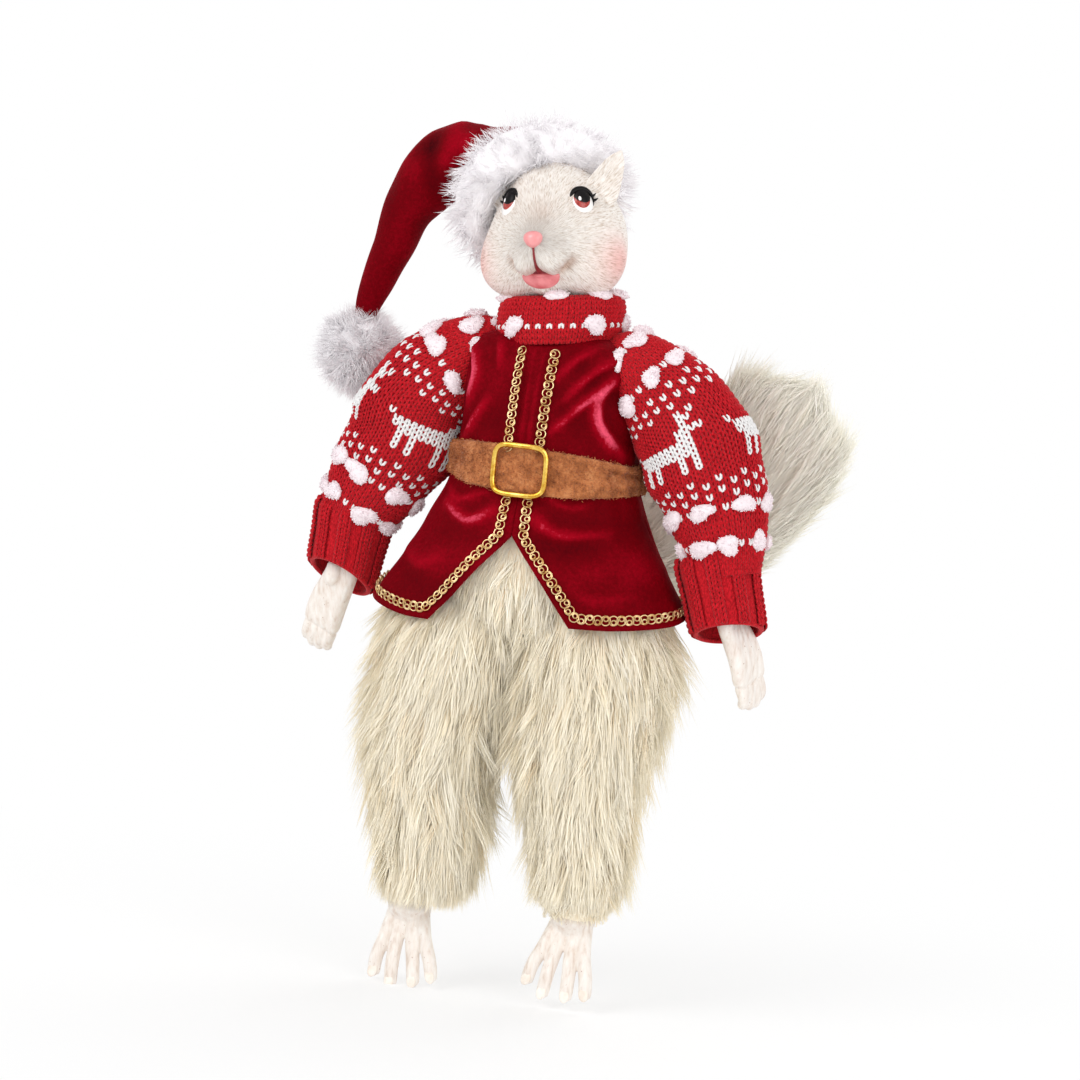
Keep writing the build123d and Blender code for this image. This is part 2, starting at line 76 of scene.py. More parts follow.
# Shapes are worked out in millimetres in the row frame and stored in metres
MM = 0.001
PLACES = {joint["name"]: np.array(joint["pos_m"]) / MM for joint in frame["joints"]}
AXES = {joint["name"]: np.array(joint["axis"], float) for joint in frame["joints"]}
SIDES = {"left": 1.0, "right": -1.0}
UP = np.array([0.0, 0.0, 1.0])
BACK = np.array([0.0, 1.0, 0.0])
FRONT = -BACK

# A hair is darker at its root with painted shade and paler at its tip with painted light
PAINTED_ROOT_SHADE = 0.12
PAINTED_TIP_LIGHT = 0.1

# The photograph's view
VIEW_AZIMUTH = 18.0
VIEW_ELEVATION = 5.0
VIEW_ROLL = 5.5
VIEW_DISTANCE = 2200.0
PIXEL = 0.527
IMAGE_PIXELS = 1080
WAIST_PIXEL = (547.0, 467.0)
SENSOR_WIDTH = 36.0


def unit(vectors):
    vectors = np.asarray(vectors, float)
    return vectors / np.maximum(np.linalg.norm(vectors, axis=-1, keepdims=True), 1e-9)


def running_length(points):
    """Length along a line of points, from its start to each point."""
    return np.concatenate([[0], np.cumsum(np.linalg.norm(np.diff(points, axis=0), axis=1))])


def between(places, marks, points):
    """Points on a line at places along it, by straight steps between its marked points."""
    return np.stack([np.interp(places, marks, points[:, axis]) for axis in range(3)], axis=-1)


def heading(line, share, step=0.01):
    """Way along a line at shares of its length."""
    return unit(line(np.minimum(share + step, 1)) - line(np.maximum(share - step, 0)))


def way_round(first, second, angle):
    """Ways at angles from the first way towards the second one."""
    return first * np.cos(angle)[:, None] + second * np.sin(angle)[:, None]


def ball_points(u, v):
    """Points of a ball of radius 1, with u once round it and v from its foot to its top."""
    angle, rise = u * 2 * np.pi, (v - 0.5) * np.pi
    return np.stack([np.cos(angle) * np.cos(rise), np.sin(angle) * np.cos(rise), np.sin(rise)], axis=-1)


def srgb(red, green, blue):
    """Screen colour from 0 to 255 as the linear colour that a shader takes."""
    values = np.array([red, green, blue]) / 255.0
    linear = np.where(values <= 0.04045, values / 12.92, ((values + 0.055) / 1.055) ** 2.4)
    return (*linear.tolist(), 1.0)


def ease(knots, values, places):
    """Smooth curve through knots that never overshoots them."""
    knots = np.asarray(knots, float)
    values = np.asarray(values, float)
    if values.ndim == 2:
        return np.stack([ease(knots, column, places) for column in values.T], axis=-1)
    steps = np.diff(knots)
    rises = np.diff(values) / steps
    slopes = np.zeros(len(knots))
    slopes[0], slopes[-1] = rises[0], rises[-1]
    same_way = rises[:-1] * rises[1:] > 0
    harmonic = 2 * rises[:-1] * rises[1:] / np.where(same_way, rises[:-1] + rises[1:], 1)
    slopes[1:-1] = np.where(same_way, harmonic, 0)
    places = np.clip(places, knots[0], knots[-1])
    index = np.clip(np.searchsorted(knots, places, side="right") - 1, 0, len(steps) - 1)
    t = (places - knots[index]) / steps[index]
    first = values[index] * (1 + 2 * t) * (1 - t) ** 2 + slopes[index] * steps[index] * t * (1 - t) ** 2
    second = values[index + 1] * t * t * (3 - 2 * t) + slopes[index + 1] * steps[index] * t * t * (t - 1)
    return first + second


def path_through(points):
    """Round path through points, as a function of the share of its length."""
    points = np.asarray(points, float)
    padded_points = np.vstack([2 * points[0] - points[1], points, 2 * points[-1] - points[-2]])
    samples = []
    for first in range(len(points) - 1):
        a, b, c, d = padded_points[first:first + 4]
        t = np.linspace(0, 1, 24, endpoint=first == len(points) - 2)[:, None]
        samples.append(0.5 * (2 * b + (c - a) * t + (2 * a - 5 * b + 4 * c - d) * t ** 2
                              + (3 * b - a - 3 * c + d) * t ** 3))
    samples = np.vstack(samples)
    lengths = running_length(samples)
    shares = lengths / lengths[-1]

    def at(share):
        return between(share, shares, samples)
    at.length = lengths[-1]
    return at


def ripple(points, scale, seed):
    """Smooth noise from -1 to 1 at points, with features of about the given size."""
    moved = np.asarray(points) / scale + seed * 17.31
    return np.array([noise.noise(Vector(point)) for point in moved])


def set_values(mesh, name, values):
    """A number or a vector on each point of a mesh, for its material to read."""
    values = np.asarray(values, np.float32)
    kind, key = ("FLOAT", "value") if values.ndim == 1 else ("FLOAT_VECTOR", "vector")
    mesh.attributes.new(name, kind, "POINT").data.foreach_set(key, values.ravel())


class Geometry:
    """Points and faces that pile up into one mesh. Each point has a tone and each face a material place."""

    def __init__(self):
        self.points, self.tones, self.quads, self.tris = [], [], [], []
        self.quad_slots, self.tri_slots, self.quad_rounds, self.tri_rounds, self.count = [], [], [], [], 0

    def add(self, points, quads=(), tris=(), tone=0.0, slot=0, rounded=True):
        points = np.asarray(points, float).reshape(-1, 3)
        quads = np.asarray(quads, int).reshape(-1, 4)
        tris = np.asarray(tris, int).reshape(-1, 3)
        self.points.append(points)
        self.tones.append(np.broadcast_to(np.asarray(tone, float), len(points)))
        self.quads.append(quads + self.count)
        self.tris.append(tris + self.count)
        self.quad_slots.append(np.broadcast_to(np.asarray(slot, int), len(quads)))
        self.tri_slots.append(np.full(len(tris), slot if np.ndim(slot) == 0 else 0))
        self.quad_rounds.append(np.full(len(quads), rounded))
        self.tri_rounds.append(np.full(len(tris), rounded))
        self.count += len(points)
        return self

    def build(self, name, *materials):
        points = np.vstack(self.points) * MM
        quads, tris = np.vstack(self.quads), np.vstack(self.tris)
        corners = np.concatenate([quads.ravel(), tris.ravel()])
        starts = np.concatenate([np.arange(len(quads)) * 4, len(quads) * 4 + np.arange(len(tris)) * 3])
        slots = np.concatenate(self.quad_slots + self.tri_slots)
        mesh = bpy.data.meshes.new(name)
        mesh.vertices.add(len(points))
        mesh.vertices.foreach_set("co", points.astype(np.float32).ravel())
        mesh.loops.add(len(corners))
        mesh.loops.foreach_set("vertex_index", corners.astype(np.int32))
        mesh.polygons.add(len(starts))
        mesh.polygons.foreach_set("loop_start", starts.astype(np.int32))
        mesh.polygons.foreach_set("material_index", slots.astype(np.int32))
        mesh.polygons.foreach_set("use_smooth", np.concatenate(self.quad_rounds + self.tri_rounds))
        set_values(mesh, "tone", np.concatenate(self.tones))
        mesh.update(calc_edges=True)
        mesh.validate()
        piece = bpy.data.objects.new(name, mesh)
        bpy.context.scene.collection.objects.link(piece)
        for material in materials:
            mesh.materials.append(material)
        return piece


def grid_faces(rows, columns, closed):
    """Quads of a grid of points, row by row, whose columns may close into a ring."""
    steps = columns if closed else columns - 1
    row, column = np.meshgrid(np.arange(rows - 1), np.arange(steps), indexing="ij")
    after = (column + 1) % columns
    return np.stack([row * columns + column, row * columns + after,
                     (row + 1) * columns + after, (row + 1) * columns + column], axis=-1).reshape(-1, 4)


def surface_frame(surface, u, v, step=0.004):
    """Places on a ring-like surface with the way out, the way round and the way along."""
    places = surface(u, v)
    around = unit(surface(u + step, v) - surface(u - step, v))
    along = unit(surface(u, np.minimum(v + step, 1)) - surface(u, np.maximum(v - step, 0)))
    outs = unit(np.cross(around, along))
    inward = np.sum(outs * (places - surface(u + 0.5, v)), axis=-1, keepdims=True) < 0
    return places, np.where(inward, -outs, outs), around, along


def skin(geometry, surface, columns, rows, tone=0.0, slot=0):
    """Closed ring of surface(u, v), with u once round and v along, facing out."""
    v, u = np.meshgrid(np.linspace(0, 1, rows), np.arange(columns) / columns, indexing="ij")
    faces = grid_faces(rows, columns, True)
    _, outs, around, along = surface_frame(surface, np.array([0.1]), np.array([0.5]))
    if np.sum(np.cross(around, along) * outs) < 0:
        faces = faces[:, ::-1]
    return geometry.add(surface(u.ravel(), v.ravel()), faces, tone=tone, slot=slot)


def tube(geometry, path, radius, sides=6, tone=0.0, slot=0, closed=False):
    """Round tube along a list of points, with a closed tip at each open end."""
    path = np.asarray(path, float)
    count = len(path)
    radius = np.broadcast_to(np.asarray(radius, float), count)
    ahead = unit(np.roll(path, -1, 0) - np.roll(path, 1, 0)) if closed else unit(np.gradient(path, axis=0))
    first = [unit(np.cross(ahead[0], BACK if abs(ahead[0] @ UP) > 0.9 else UP))]
    for way in ahead[1:]:
        first.append(unit(first[-1] - way * (first[-1] @ way)))
    first = np.array(first)
    second = np.cross(ahead, first)
    angles = np.arange(sides) / sides * 2 * np.pi
    ring = first[:, None] * np.cos(angles)[None, :, None] + second[:, None] * np.sin(angles)[None, :, None]
    points = (path[:, None] + ring * radius[:, None, None]).reshape(-1, 3)
    faces = grid_faces(count + 1 if closed else count, sides, True) % (count * sides)
    tris = []
    if not closed:
        points = np.vstack([points, path[0], path[-1]])
        near = np.arange(sides)
        tris = np.vstack([
            np.stack([np.full(sides, count * sides), (near + 1) % sides, near], axis=-1),
            np.stack([np.full(sides, count * sides + 1), near + (count - 1) * sides,
                      (near + 1) % sides + (count - 1) * sides], axis=-1),
        ])
    return geometry.add(points, faces, tris, tone=tone, slot=slot)


def strands(geometry, roots, tips, sag, width, tones, outs, slot=0):
    """Tapered hairs from roots to tips, with one flat side facing out. Sag bows the middle of each one,
    and without it a hair is straight."""
    count = len(roots)
    ahead = unit(tips - roots)
    outs = outs + BACK * 0.01
    facing = unit(outs - ahead * np.sum(outs * ahead, axis=-1, keepdims=True))
    side = np.cross(ahead, facing)
    width = np.broadcast_to(np.asarray(width, float), count)[:, None]
    corners = [facing * math.cos(angle) + side * math.sin(angle) for angle in np.radians([-60, 60, 180])]
    rings = [(roots, 0.5)]
    if sag is not None:
        rings.append(((roots + tips) / 2 + sag, 0.42))
    points = [middle + corner * width * share for middle, share in rings for corner in corners] + [tips]
    last = len(points) - 1
    points = np.stack(points, axis=1)
    base = np.arange(count)[:, None, None] * (last + 1)
    quads = np.array([[0, 1, 4, 3], [1, 2, 5, 4], [2, 0, 3, 5]]) + base if sag is not None else ()
    tris = np.array([[last - 3, last - 2, last], [last - 2, last - 1, last],
                     [last - 1, last - 3, last]]) + base
    shade = np.repeat(np.asarray(tones, float)[:, None], last + 1, axis=1)
    # Painted shade at each hair's root and painted light at its tip
    shade[:, :3] -= PAINTED_ROOT_SHADE
    shade[:, -1] += PAINTED_TIP_LIGHT
    return geometry.add(points.reshape(-1, 3), quads, tris, tone=shade.ravel(), slot=slot, rounded=False)


def fur(geometry, rng, places, outs, flows, bowed, straight, length, rise, width, spread=3.0, gather=0.6,
        fall=0.12, wander=0.2, slot=0, lowest=None):
    """Tufts of hair at places, each with bowed and straight hairs. A tuft leans from the way out towards
    the flow and draws in at its tip. Hair that would hang below the lowest level is cut shorter."""
    count = len(places)
    rise = np.broadcast_to(np.asarray(rise, float), count)[:, None]
    lean = unit(outs * rise + flows + rng.normal(0, wander, (count, 3)))
    lengths = length * rng.uniform(0.75, 1.15, count)
    sway = rng.normal(0, 0.09, (count, 3)) - UP * fall
    side = unit(np.cross(outs, flows))
    tone = rng.normal(0.52, 0.07, count)
    for hair in range(bowed + straight):
        offset = side * rng.normal(0, spread * 0.6, (count, 1))
        offset = offset + flows * rng.normal(0, spread * 0.6, (count, 1))
        roots = places + offset
        reach = (lengths * rng.uniform(0.7, 1.1, count))[:, None]
        tips = places + lean * reach + offset * gather + rng.normal(0, 0.06, (count, 3)) * reach
        tips = tips - UP * fall * reach
        if lowest is not None:
            drop = np.maximum(roots[:, 2] - tips[:, 2], 1e-6)
            room = np.clip((roots[:, 2] - lowest - rng.uniform(-4, 4, count)) / drop, 0.15, 1)
            tips = roots + (tips - roots) * room[:, None]
        bow = (sway + outs * 0.12) * reach * 0.4 if hair < bowed else None
        strands(geometry, roots, tips, bow, width, tone + rng.normal(0, 0.07, count), outs, slot)
    return geometry


def place(piece, body, slot, *nodes):
    """A finished piece rides on its body and stands for its nodes."""
    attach(piece, body)
    if nodes:
        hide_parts(*nodes)
    return piece


# Materials


def new_material(name, **sockets):
    """Material with one main shader whose plain values are set on its own sockets."""
    material = bpy.data.materials.new(name)
    material.use_nodes = True
    shader = material.node_tree.nodes["Principled BSDF"]
    for socket, value in sockets.items():
        shader.inputs[socket.replace("_", " ")].default_value = value
    return material, material.node_tree, shader


def add_node(tree, kind, links=None, **values):
    """Node with values set on it or its inputs, and links from other sockets."""
    node = tree.nodes.new(kind)
    for key, value in values.items():
        if key in node.inputs:
            node.inputs[key].default_value = value
        else:
            setattr(node, key, value)
    for socket, source in (links or {}).items():
        tree.links.new(source, node.inputs[socket])
    return node


def color_ramp(tree, factor, stops):
    node = add_node(tree, "ShaderNodeValToRGB", {"Fac": factor})
    ramp = node.color_ramp
    while len(ramp.elements) < len(stops):
        ramp.elements.new(0.5)
    for element, (place_on_ramp, color) in zip(ramp.elements, stops):
        element.position = place_on_ramp
        element.color = color
    return node.outputs["Color"]


def value_of(tree, name, output="Fac"):
    """Value that the points of the mesh carry."""
    return add_node(tree, "ShaderNodeAttribute", attribute_name=name).outputs[output]


def noise_of(tree, scale, detail=4.0, stretch=(1, 1, 1), roughness=0.55):
    coordinates = add_node(tree, "ShaderNodeTexCoord").outputs["Object"]
    mapping = add_node(tree, "ShaderNodeMapping", {"Vector": coordinates}, Scale=stretch)
    texture = add_node(tree, "ShaderNodeTexNoise", {"Vector": mapping.outputs["Vector"]},
                       Scale=scale, Detail=detail, Roughness=roughness)
    return texture.outputs["Fac"]


def bump(tree, shader, height, strength, distance):
    node = add_node(tree, "ShaderNodeBump", {"Height": height}, Strength=strength, Distance=distance)
    tree.links.new(node.outputs["Normal"], shader.inputs["Normal"])


def paint(shader, color):
    shader.id_data.links.new(color, shader.inputs["Base Color"])


def tinted(tree, color, tint, share):
    """Colour multiplied by a tint, as far as the share goes."""
    node = add_node(tree, "ShaderNodeMix", {"Factor": share, "A": color}, data_type="RGBA",
                    blend_type="MULTIPLY", B=tint)
    return node.outputs["Result"]


def fur_material(name, root, body, tip):
    """Plush pile: each hair has its own tone, with painted shade at its root and painted light at its tip.
    """
    material, tree, shader = new_material(name, Roughness=0.6, Sheen_Weight=0.1, Sheen_Roughness=0.5,
                                          Specular_IOR_Level=0.25)
    paint(shader, color_ramp(tree, value_of(tree, "tone"), [(0.0, root), (0.45, body), (0.95, tip)]))
    return material


VELVET_PILE = 0.42


def velvet_material():
    """Velvet: dark red pile with painted highlights on the ridges of its folds and painted shade in their
    hollows; it shines at their turn.
    """
    material, tree, shader = new_material("velvet_painted_fold_light", Roughness=0.7, Sheen_Weight=0.3,
                                          Sheen_Roughness=0.3, Sheen_Tint=srgb(236, 40, 66),
                                          Specular_IOR_Level=0.03)
    pile = noise_of(tree, 520.0, 4.0, roughness=0.75)
    nap = add_node(tree, "ShaderNodeMath", {0: pile, 2: value_of(tree, "tone")}, operation="MULTIPLY_ADD")
    nap.inputs[1].default_value = VELVET_PILE
    # Low tones paint shade and high tones paint pale pink highlights on the fold ridges
    paint(shader, color_ramp(tree, nap.outputs[0], [(0.12, srgb(44, 0, 4)), (0.52, srgb(108, 0, 10)),
                                                    (0.78, srgb(154, 2, 24)), (1.0, srgb(236, 84, 112))]))
    bump(tree, shader, pile, 0.6, 0.0005)
    return material


def yarn_material(name, dark, light):
    """Spun yarn with fine twisted fibres."""
    material, tree, shader = new_material(name, Roughness=0.85, Sheen_Weight=0.08, Sheen_Roughness=0.5,
                                          Specular_IOR_Level=0.15)
    fibres = noise_of(tree, 1500.0, 3.0, (1, 1, 0.35))
    paint(shader, color_ramp(tree, fibres, [(0.3, dark), (0.7, light)]))
    bump(tree, shader, fibres, 0.5, 0.0004)
    return material


def suede_material():
    """Rubbed brown leather with a short nap."""
    material, tree, shader = new_material("brown_suede", Roughness=0.9, Sheen_Weight=0.2,
                                          Sheen_Roughness=0.5, Specular_IOR_Level=0.1)
    nap = noise_of(tree, 110.0, 6.0, (1, 1, 1), 0.7)
    paint(shader, color_ramp(tree, nap, [(0.3, srgb(134, 76, 42)), (0.5, srgb(186, 116, 70)),
                                         (0.68, srgb(218, 152, 100))]))
    bump(tree, shader, noise_of(tree, 1100.0, 3.0), 0.5, 0.0004)
    return material


def metal_material(name, dark, light, roughness):
    """Bare metal with slight wear."""
    material, tree, shader = new_material(name, Metallic=1.0, Roughness=roughness)
    paint(shader, color_ramp(tree, noise_of(tree, 260.0, 4.0), [(0.35, dark), (0.65, light)]))
    return material


def plain_material(name, color, shade, roughness, scale=160.0, coat=0.0, shine=0.5):
    """Smooth paint with a slight drift between two close colours."""
    material, tree, shader = new_material(name, Roughness=roughness, Coat_Weight=coat,
                                          Specular_IOR_Level=shine)
    paint(shader, color_ramp(tree, noise_of(tree, scale, 4.0), [(0.35, shade), (0.65, color)]))
    return material


CREAM_FUR = fur_material("cream_pile", srgb(250, 220, 178), srgb(255, 246, 224), srgb(255, 251, 240))
# The tail's pile is paler than the legs': partly its own colour, partly painted light against the shade it
# sits in behind the arm
TAIL_FUR = fur_material("pale_pile", srgb(255, 246, 226), srgb(255, 252, 240), srgb(255, 254, 248))
WHITE_FUR = fur_material("white_pile", srgb(236, 233, 236), srgb(248, 245, 247), srgb(254, 252, 253))
TUFT_FUR = fur_material("tuft_pile", srgb(224, 204, 210), srgb(243, 231, 235), srgb(250, 243, 245))
VELVET = velvet_material()
RED_YARN = yarn_material("red_yarn", srgb(140, 6, 16), srgb(218, 26, 40))
WHITE_YARN = yarn_material("white_yarn", srgb(222, 220, 220), srgb(250, 249, 248))
SUEDE = suede_material()
GOLD_METAL = metal_material("gold_plate", srgb(206, 150, 42), srgb(250, 214, 110), 0.18)
GOLD_THREAD = metal_material("gold_thread", srgb(186, 140, 80), srgb(252, 228, 176), 0.28)

# Legs: one plush piece from the hip over the knee to the ankle
HEM = -82.0
FUR_END = {"left": -227.0, "right": -237.0}
LEG_LEAN = {"left": np.array([-1.5, 0.0, 0.0]), "right": np.array([2.0, 0.0, 0.0])}
LEG_BOW = np.array([-5.0, 0.0, 0.0])
LEG_SLIM = {"left": 0.12, "right": 0.0}
LEG_SHARES = (0, 0.08, 0.22, 0.45, 0.62, 0.85, 0.97, 1)
LEG_RADII = (10, 29, 39.5, 35, 29.5, 21.5, 17, 9)
LEG_TUFTS = 2000
LEG_SEED = {"left": 11, "right": 12}


def leg_surface(side):
    """Skin of a leg: wide at the thigh, narrow at the ankle, and leaning a little forward."""
    hip, knee, ankle = (PLACES[f"{name}_bend_{side}"] for name in ("hip", "knee", "ankle"))
    line = path_through([hip + UP * 22, hip, (hip + knee) / 2 + FRONT * 3, knee + FRONT * 7,
                         (knee + ankle) / 2 + FRONT * 10, ankle + UP * 9 + FRONT * 11])

    def surface(u, v):
        angle = u * 2 * np.pi
        radius = ease(LEG_SHARES, LEG_RADII, v)
        radius = radius * (1 - LEG_SLIM[side] * np.clip((v - 0.45) / 0.3, 0, 1))
        out = np.stack([np.cos(angle), np.sin(angle), np.zeros_like(angle)], axis=-1)
        lean = LEG_LEAN[side] * np.clip((v - 0.35) / 0.5, 0, 1)[:, None]
        lean = lean + LEG_BOW * np.exp(-((v - 0.55) / 0.18) ** 2)[:, None]
        return line(v) + lean + out * radius[:, None]
    return surface


def make_leg(side):
    surface = leg_surface(side)
    rng = np.random.default_rng(LEG_SEED[side])
    leg = Geometry()
    skin(leg, surface, 64, 60, tone=0.4)
    u = rng.uniform(0, 1, LEG_TUFTS)
    v = rng.uniform(0.02, 0.985, LEG_TUFTS)
    places, outs, _, alongs = surface_frame(surface, u, v)
    covered = np.clip((places[:, 2] - HEM - 4) / 10, 0, 1)
    length = ease([0, 0.3, 0.7, 1], [26, 28, 27, 24], v) * (1 - 0.7 * covered)
    rise = ease([0, 0.3, 0.6, 1], [0.24, 0.26, 0.24, 0.22], v) * (1 - 0.6 * covered)
    fur(leg, rng, places, outs, alongs, 5, 12, length, rise, 0.6, spread=3.8, fall=0.2,
        lowest=FUR_END[side])
    piece = leg.build(f"plush_leg_{side}", CREAM_FUR)
    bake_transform(piece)
    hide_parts(f"thigh_{side}", f"shin_{side}")


for side in SIDES:
    make_leg(side)

# Tail: a flat fan of long plush
TAIL_ROOT = PLACES["tail_lean"]
TAIL_LINE = path_through([TAIL_ROOT, TAIL_ROOT + np.array([5, 24, -3]), (21, 92, -58), (54, 104, -34),
                          (84, 104, 4), (105, 104, 38)])
TAIL_TUFTS = 2200


def tail_surface(u, v):
    ahead = heading(TAIL_LINE, v)
    across = unit(np.cross(BACK + 0.001, ahead))
    early = np.clip(1 - v / 0.35, 0, 1)[:, None]
    across = unit(across * (1 - early) + np.array([1.0, 0, 0]) * early)
    thick = np.cross(ahead, across)
    half_width = ease([0, 0.1, 0.3, 0.5, 0.75, 0.93, 1], [8, 12, 21, 30, 36, 34, 20], v)
    half_thickness = ease([0, 0.1, 0.3, 0.6, 0.9, 1], [8, 11, 14, 14, 10, 4], v)
    angle = u * 2 * np.pi
    return (TAIL_LINE(v) + across * (np.cos(angle) * half_width)[:, None]
            + thick * (np.sin(angle) * half_thickness)[:, None])


def make_tail():
    rng = np.random.default_rng(21)
    tail = Geometry()
    # Paler skin tone under the tail's hair, partly painted light against its shade
    skin(tail, tail_surface, 60, 70, tone=0.55)
    u = rng.uniform(0, 1, TAIL_TUFTS)
    v = rng.uniform(0.03, 1.0, TAIL_TUFTS) ** 0.8
    places, outs, _, alongs = surface_frame(tail_surface, u, v)
    length = ease([0, 0.12, 0.3, 1], [9, 16, 26, 27], v)
    fur(tail, rng, places, outs, alongs, 5, 11, length, 0.2, 0.6, spread=3.8, fall=0.0, wander=0.12)
    piece = tail.build("plush_tail", TAIL_FUR)
    place(piece, "tail", "cream_plush", "tail")


make_tail()

# Hat: fur brim round the head, a velvet crown and a drooping end with a pompom
HEAD_UP = unit(AXES["head_turn"])
HEAD_YAW = math.radians(1.0)
HEAD_ROOT = PLACES["head_turn"]
HEAD_SIDE = unit(np.cross(BACK, HEAD_UP)) * math.cos(HEAD_YAW) + BACK * math.sin(HEAD_YAW)
HEAD_BACK = np.cross(HEAD_UP, HEAD_SIDE)


def on_head(x, y, z):
    """Place given across, behind and above the neck, in the head's own frame."""
    x, y, z = (np.asarray(value, float)[..., None] for value in (x, y, z))
    return HEAD_ROOT + HEAD_SIDE * x + HEAD_BACK * y + HEAD_UP * z


BRIM_CENTER = on_head(-14.0, 12.0, 64.5)
BRIM_AXIS = unit(HEAD_SIDE * -0.367 + HEAD_BACK * 0.691 + HEAD_UP * 0.623)
BRIM_FIRST = unit(np.cross(BRIM_AXIS, UP))
BRIM_SECOND = np.cross(BRIM_AXIS, BRIM_FIRST)
BRIM_RING = 34.0
BRIM_HALF_THICKNESS = 11.0
BRIM_HALF_WIDTH = 13.0
BRIM_TUFTS = 900
POMPOM = np.mean(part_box("hat_pompom"), axis=0) / MM + np.array([-4, 0, 0])
POMPOM_RADIUS = 18.5
POMPOM_TUFTS = 700


def brim_surface(u, v):
    """Fat band of the brim: u goes round its section and v round the head."""
    turn, angle = v * 2 * np.pi, u * 2 * np.pi
    out = way_round(BRIM_FIRST, BRIM_SECOND, turn)
    return (BRIM_CENTER + out * (BRIM_RING + BRIM_HALF_THICKNESS * np.cos(angle))[:, None]
            + BRIM_AXIS * (BRIM_HALF_WIDTH * np.sin(angle))[:, None])


def make_brim():
    rng = np.random.default_rng(31)
    brim = Geometry()
    skin(brim, brim_surface, 28, 121, tone=0.5)
    u, v = rng.uniform(0, 1, BRIM_TUFTS), rng.uniform(0, 1, BRIM_TUFTS)
    places, outs, _, _ = surface_frame(brim_surface, u, v)
    ring = way_round(BRIM_FIRST, BRIM_SECOND, v * 2 * np.pi)
    flows = unit(ring * 0.6 - BRIM_AXIS * 0.2 + rng.normal(0, 0.3, (BRIM_TUFTS, 3)))
    fur(brim, rng, places, outs, flows, 3, 9, 8.5, 0.5, 0.45, spread=4.2, gather=0.9, fall=0.05, wander=0.25)
    piece = brim.build("fur_brim", WHITE_FUR)
    place(piece, "head", "white_fur", "hat_brim")


def make_pompom():
    rng = np.random.default_rng(41)
    pompom = Geometry()
    outs = unit(rng.normal(0, 1, (POMPOM_TUFTS, 3)))
    places = POMPOM + outs * (POMPOM_RADIUS - 1.5)
    flows = unit(np.cross(outs, rng.normal(0, 1, (POMPOM_TUFTS, 3)))) * 0.5 - UP * 0.12
    fur(pompom, rng, places, outs, flows, 3, 9, 11.5, 0.75, 0.45,
        spread=3.4, gather=1.3, fall=0.06, wander=0.25)

    def ball(u, v):
        return POMPOM + ball_points(u, v) * POMPOM_RADIUS
    skin(pompom, ball, 32, 17, tone=0.5)
    piece = pompom.build("fur_pompom", WHITE_FUR)
    place(piece, "hat_tip", "white_fur", "hat_pompom")


make_brim()
make_pompom()

# Sweater: real stitches on the sleeves, the ribbed cuffs and the rolled collar
STITCH_ROWS = 50
STITCH_COLUMNS = 48
BOBBLE_ROWS = (6, 12, 38, 44)
BOBBLE_HALF = (6.4, 5.2, 2.9)
BOBBLE_FUZZ = 150
ZIGZAG_ROWS = (15, 17, 33, 35)
DEER_TOP_ROW = 20
DEER_REPEAT = 16
DEER = (
    "X.X..........",
    ".XX..........",
    "..X..........",
    "XXXX.........",
    "..XX........X",
    "..XXXXXXXXXX.",
    "..XXXXXXXXXX.",
    "..XXXXXXXXX..",
    "..X.X...X.X..",
    "..X.X...X.X..",
    "..X.X...X.X..",
)
RED, WHITE, TUFT = 0, 1, 2


def knit(geometry, surface, columns, rows, yarn, chart, lift=None):
    """Each stitch is a pair of yarn legs that meet in a V. Chart picks the yarn and lift raises columns."""
    across = np.array([0.06, 0.24, 0.36, 0.27])
    along = np.array([1.12, 0.72, 0.28, -0.12])
    height = np.array([-0.1, 0.75, 0.85, 0.1]) * yarn
    row, column, leg = np.meshgrid(np.arange(rows), np.arange(columns), [-1.0, 1.0], indexing="ij")
    u = (column[..., None] + 0.5 + leg[..., None] * across) / columns
    v = np.clip((row[..., None] + along) / rows, 0, 1)
    raised = np.broadcast_to(height, u.shape) + (0 if lift is None else lift[column][..., None])
    places, outs, _, _ = surface_frame(surface, u.ravel(), v.ravel())
    path = (places + outs * raised.ravel()[:, None]).reshape(-1, 4, 3)
    outs = outs.reshape(-1, 4, 3)
    sideways = unit(np.cross(outs, np.gradient(path, axis=1)))
    ring = np.stack([path + sideways * yarn, path + outs * yarn * 0.8,
                     path - sideways * yarn, path - outs * yarn * 0.8], axis=2)
    base = np.arange(len(path))[:, None, None] * 16
    faces = (grid_faces(4, 4, True)[None] + base).reshape(-1, 4)
    yarns = chart[row, column].ravel()
    geometry.add(ring.reshape(-1, 3), faces, slot=np.repeat(yarns, 12))


def sleeve_chart():
    """White stitches of the sleeve: rows of dots, zigzags and a row of reindeer."""
    row, column = np.meshgrid(np.arange(STITCH_ROWS), np.arange(STITCH_COLUMNS), indexing="ij")
    chart = np.isin(row, BOBBLE_ROWS) & (column % 2 == 0)
    for top in ZIGZAG_ROWS:
        chart |= (row == top) & (column % 4 == 0)
        chart |= (row == top + 1) & (column % 4 == 2)
    for deer_row, stitches in enumerate(DEER):
        for deer_column, stitch in enumerate(stitches):
            if stitch == "X":
                chart |= (row == DEER_TOP_ROW + deer_row) & (column % DEER_REPEAT == deer_column)
    return chart.astype(int)


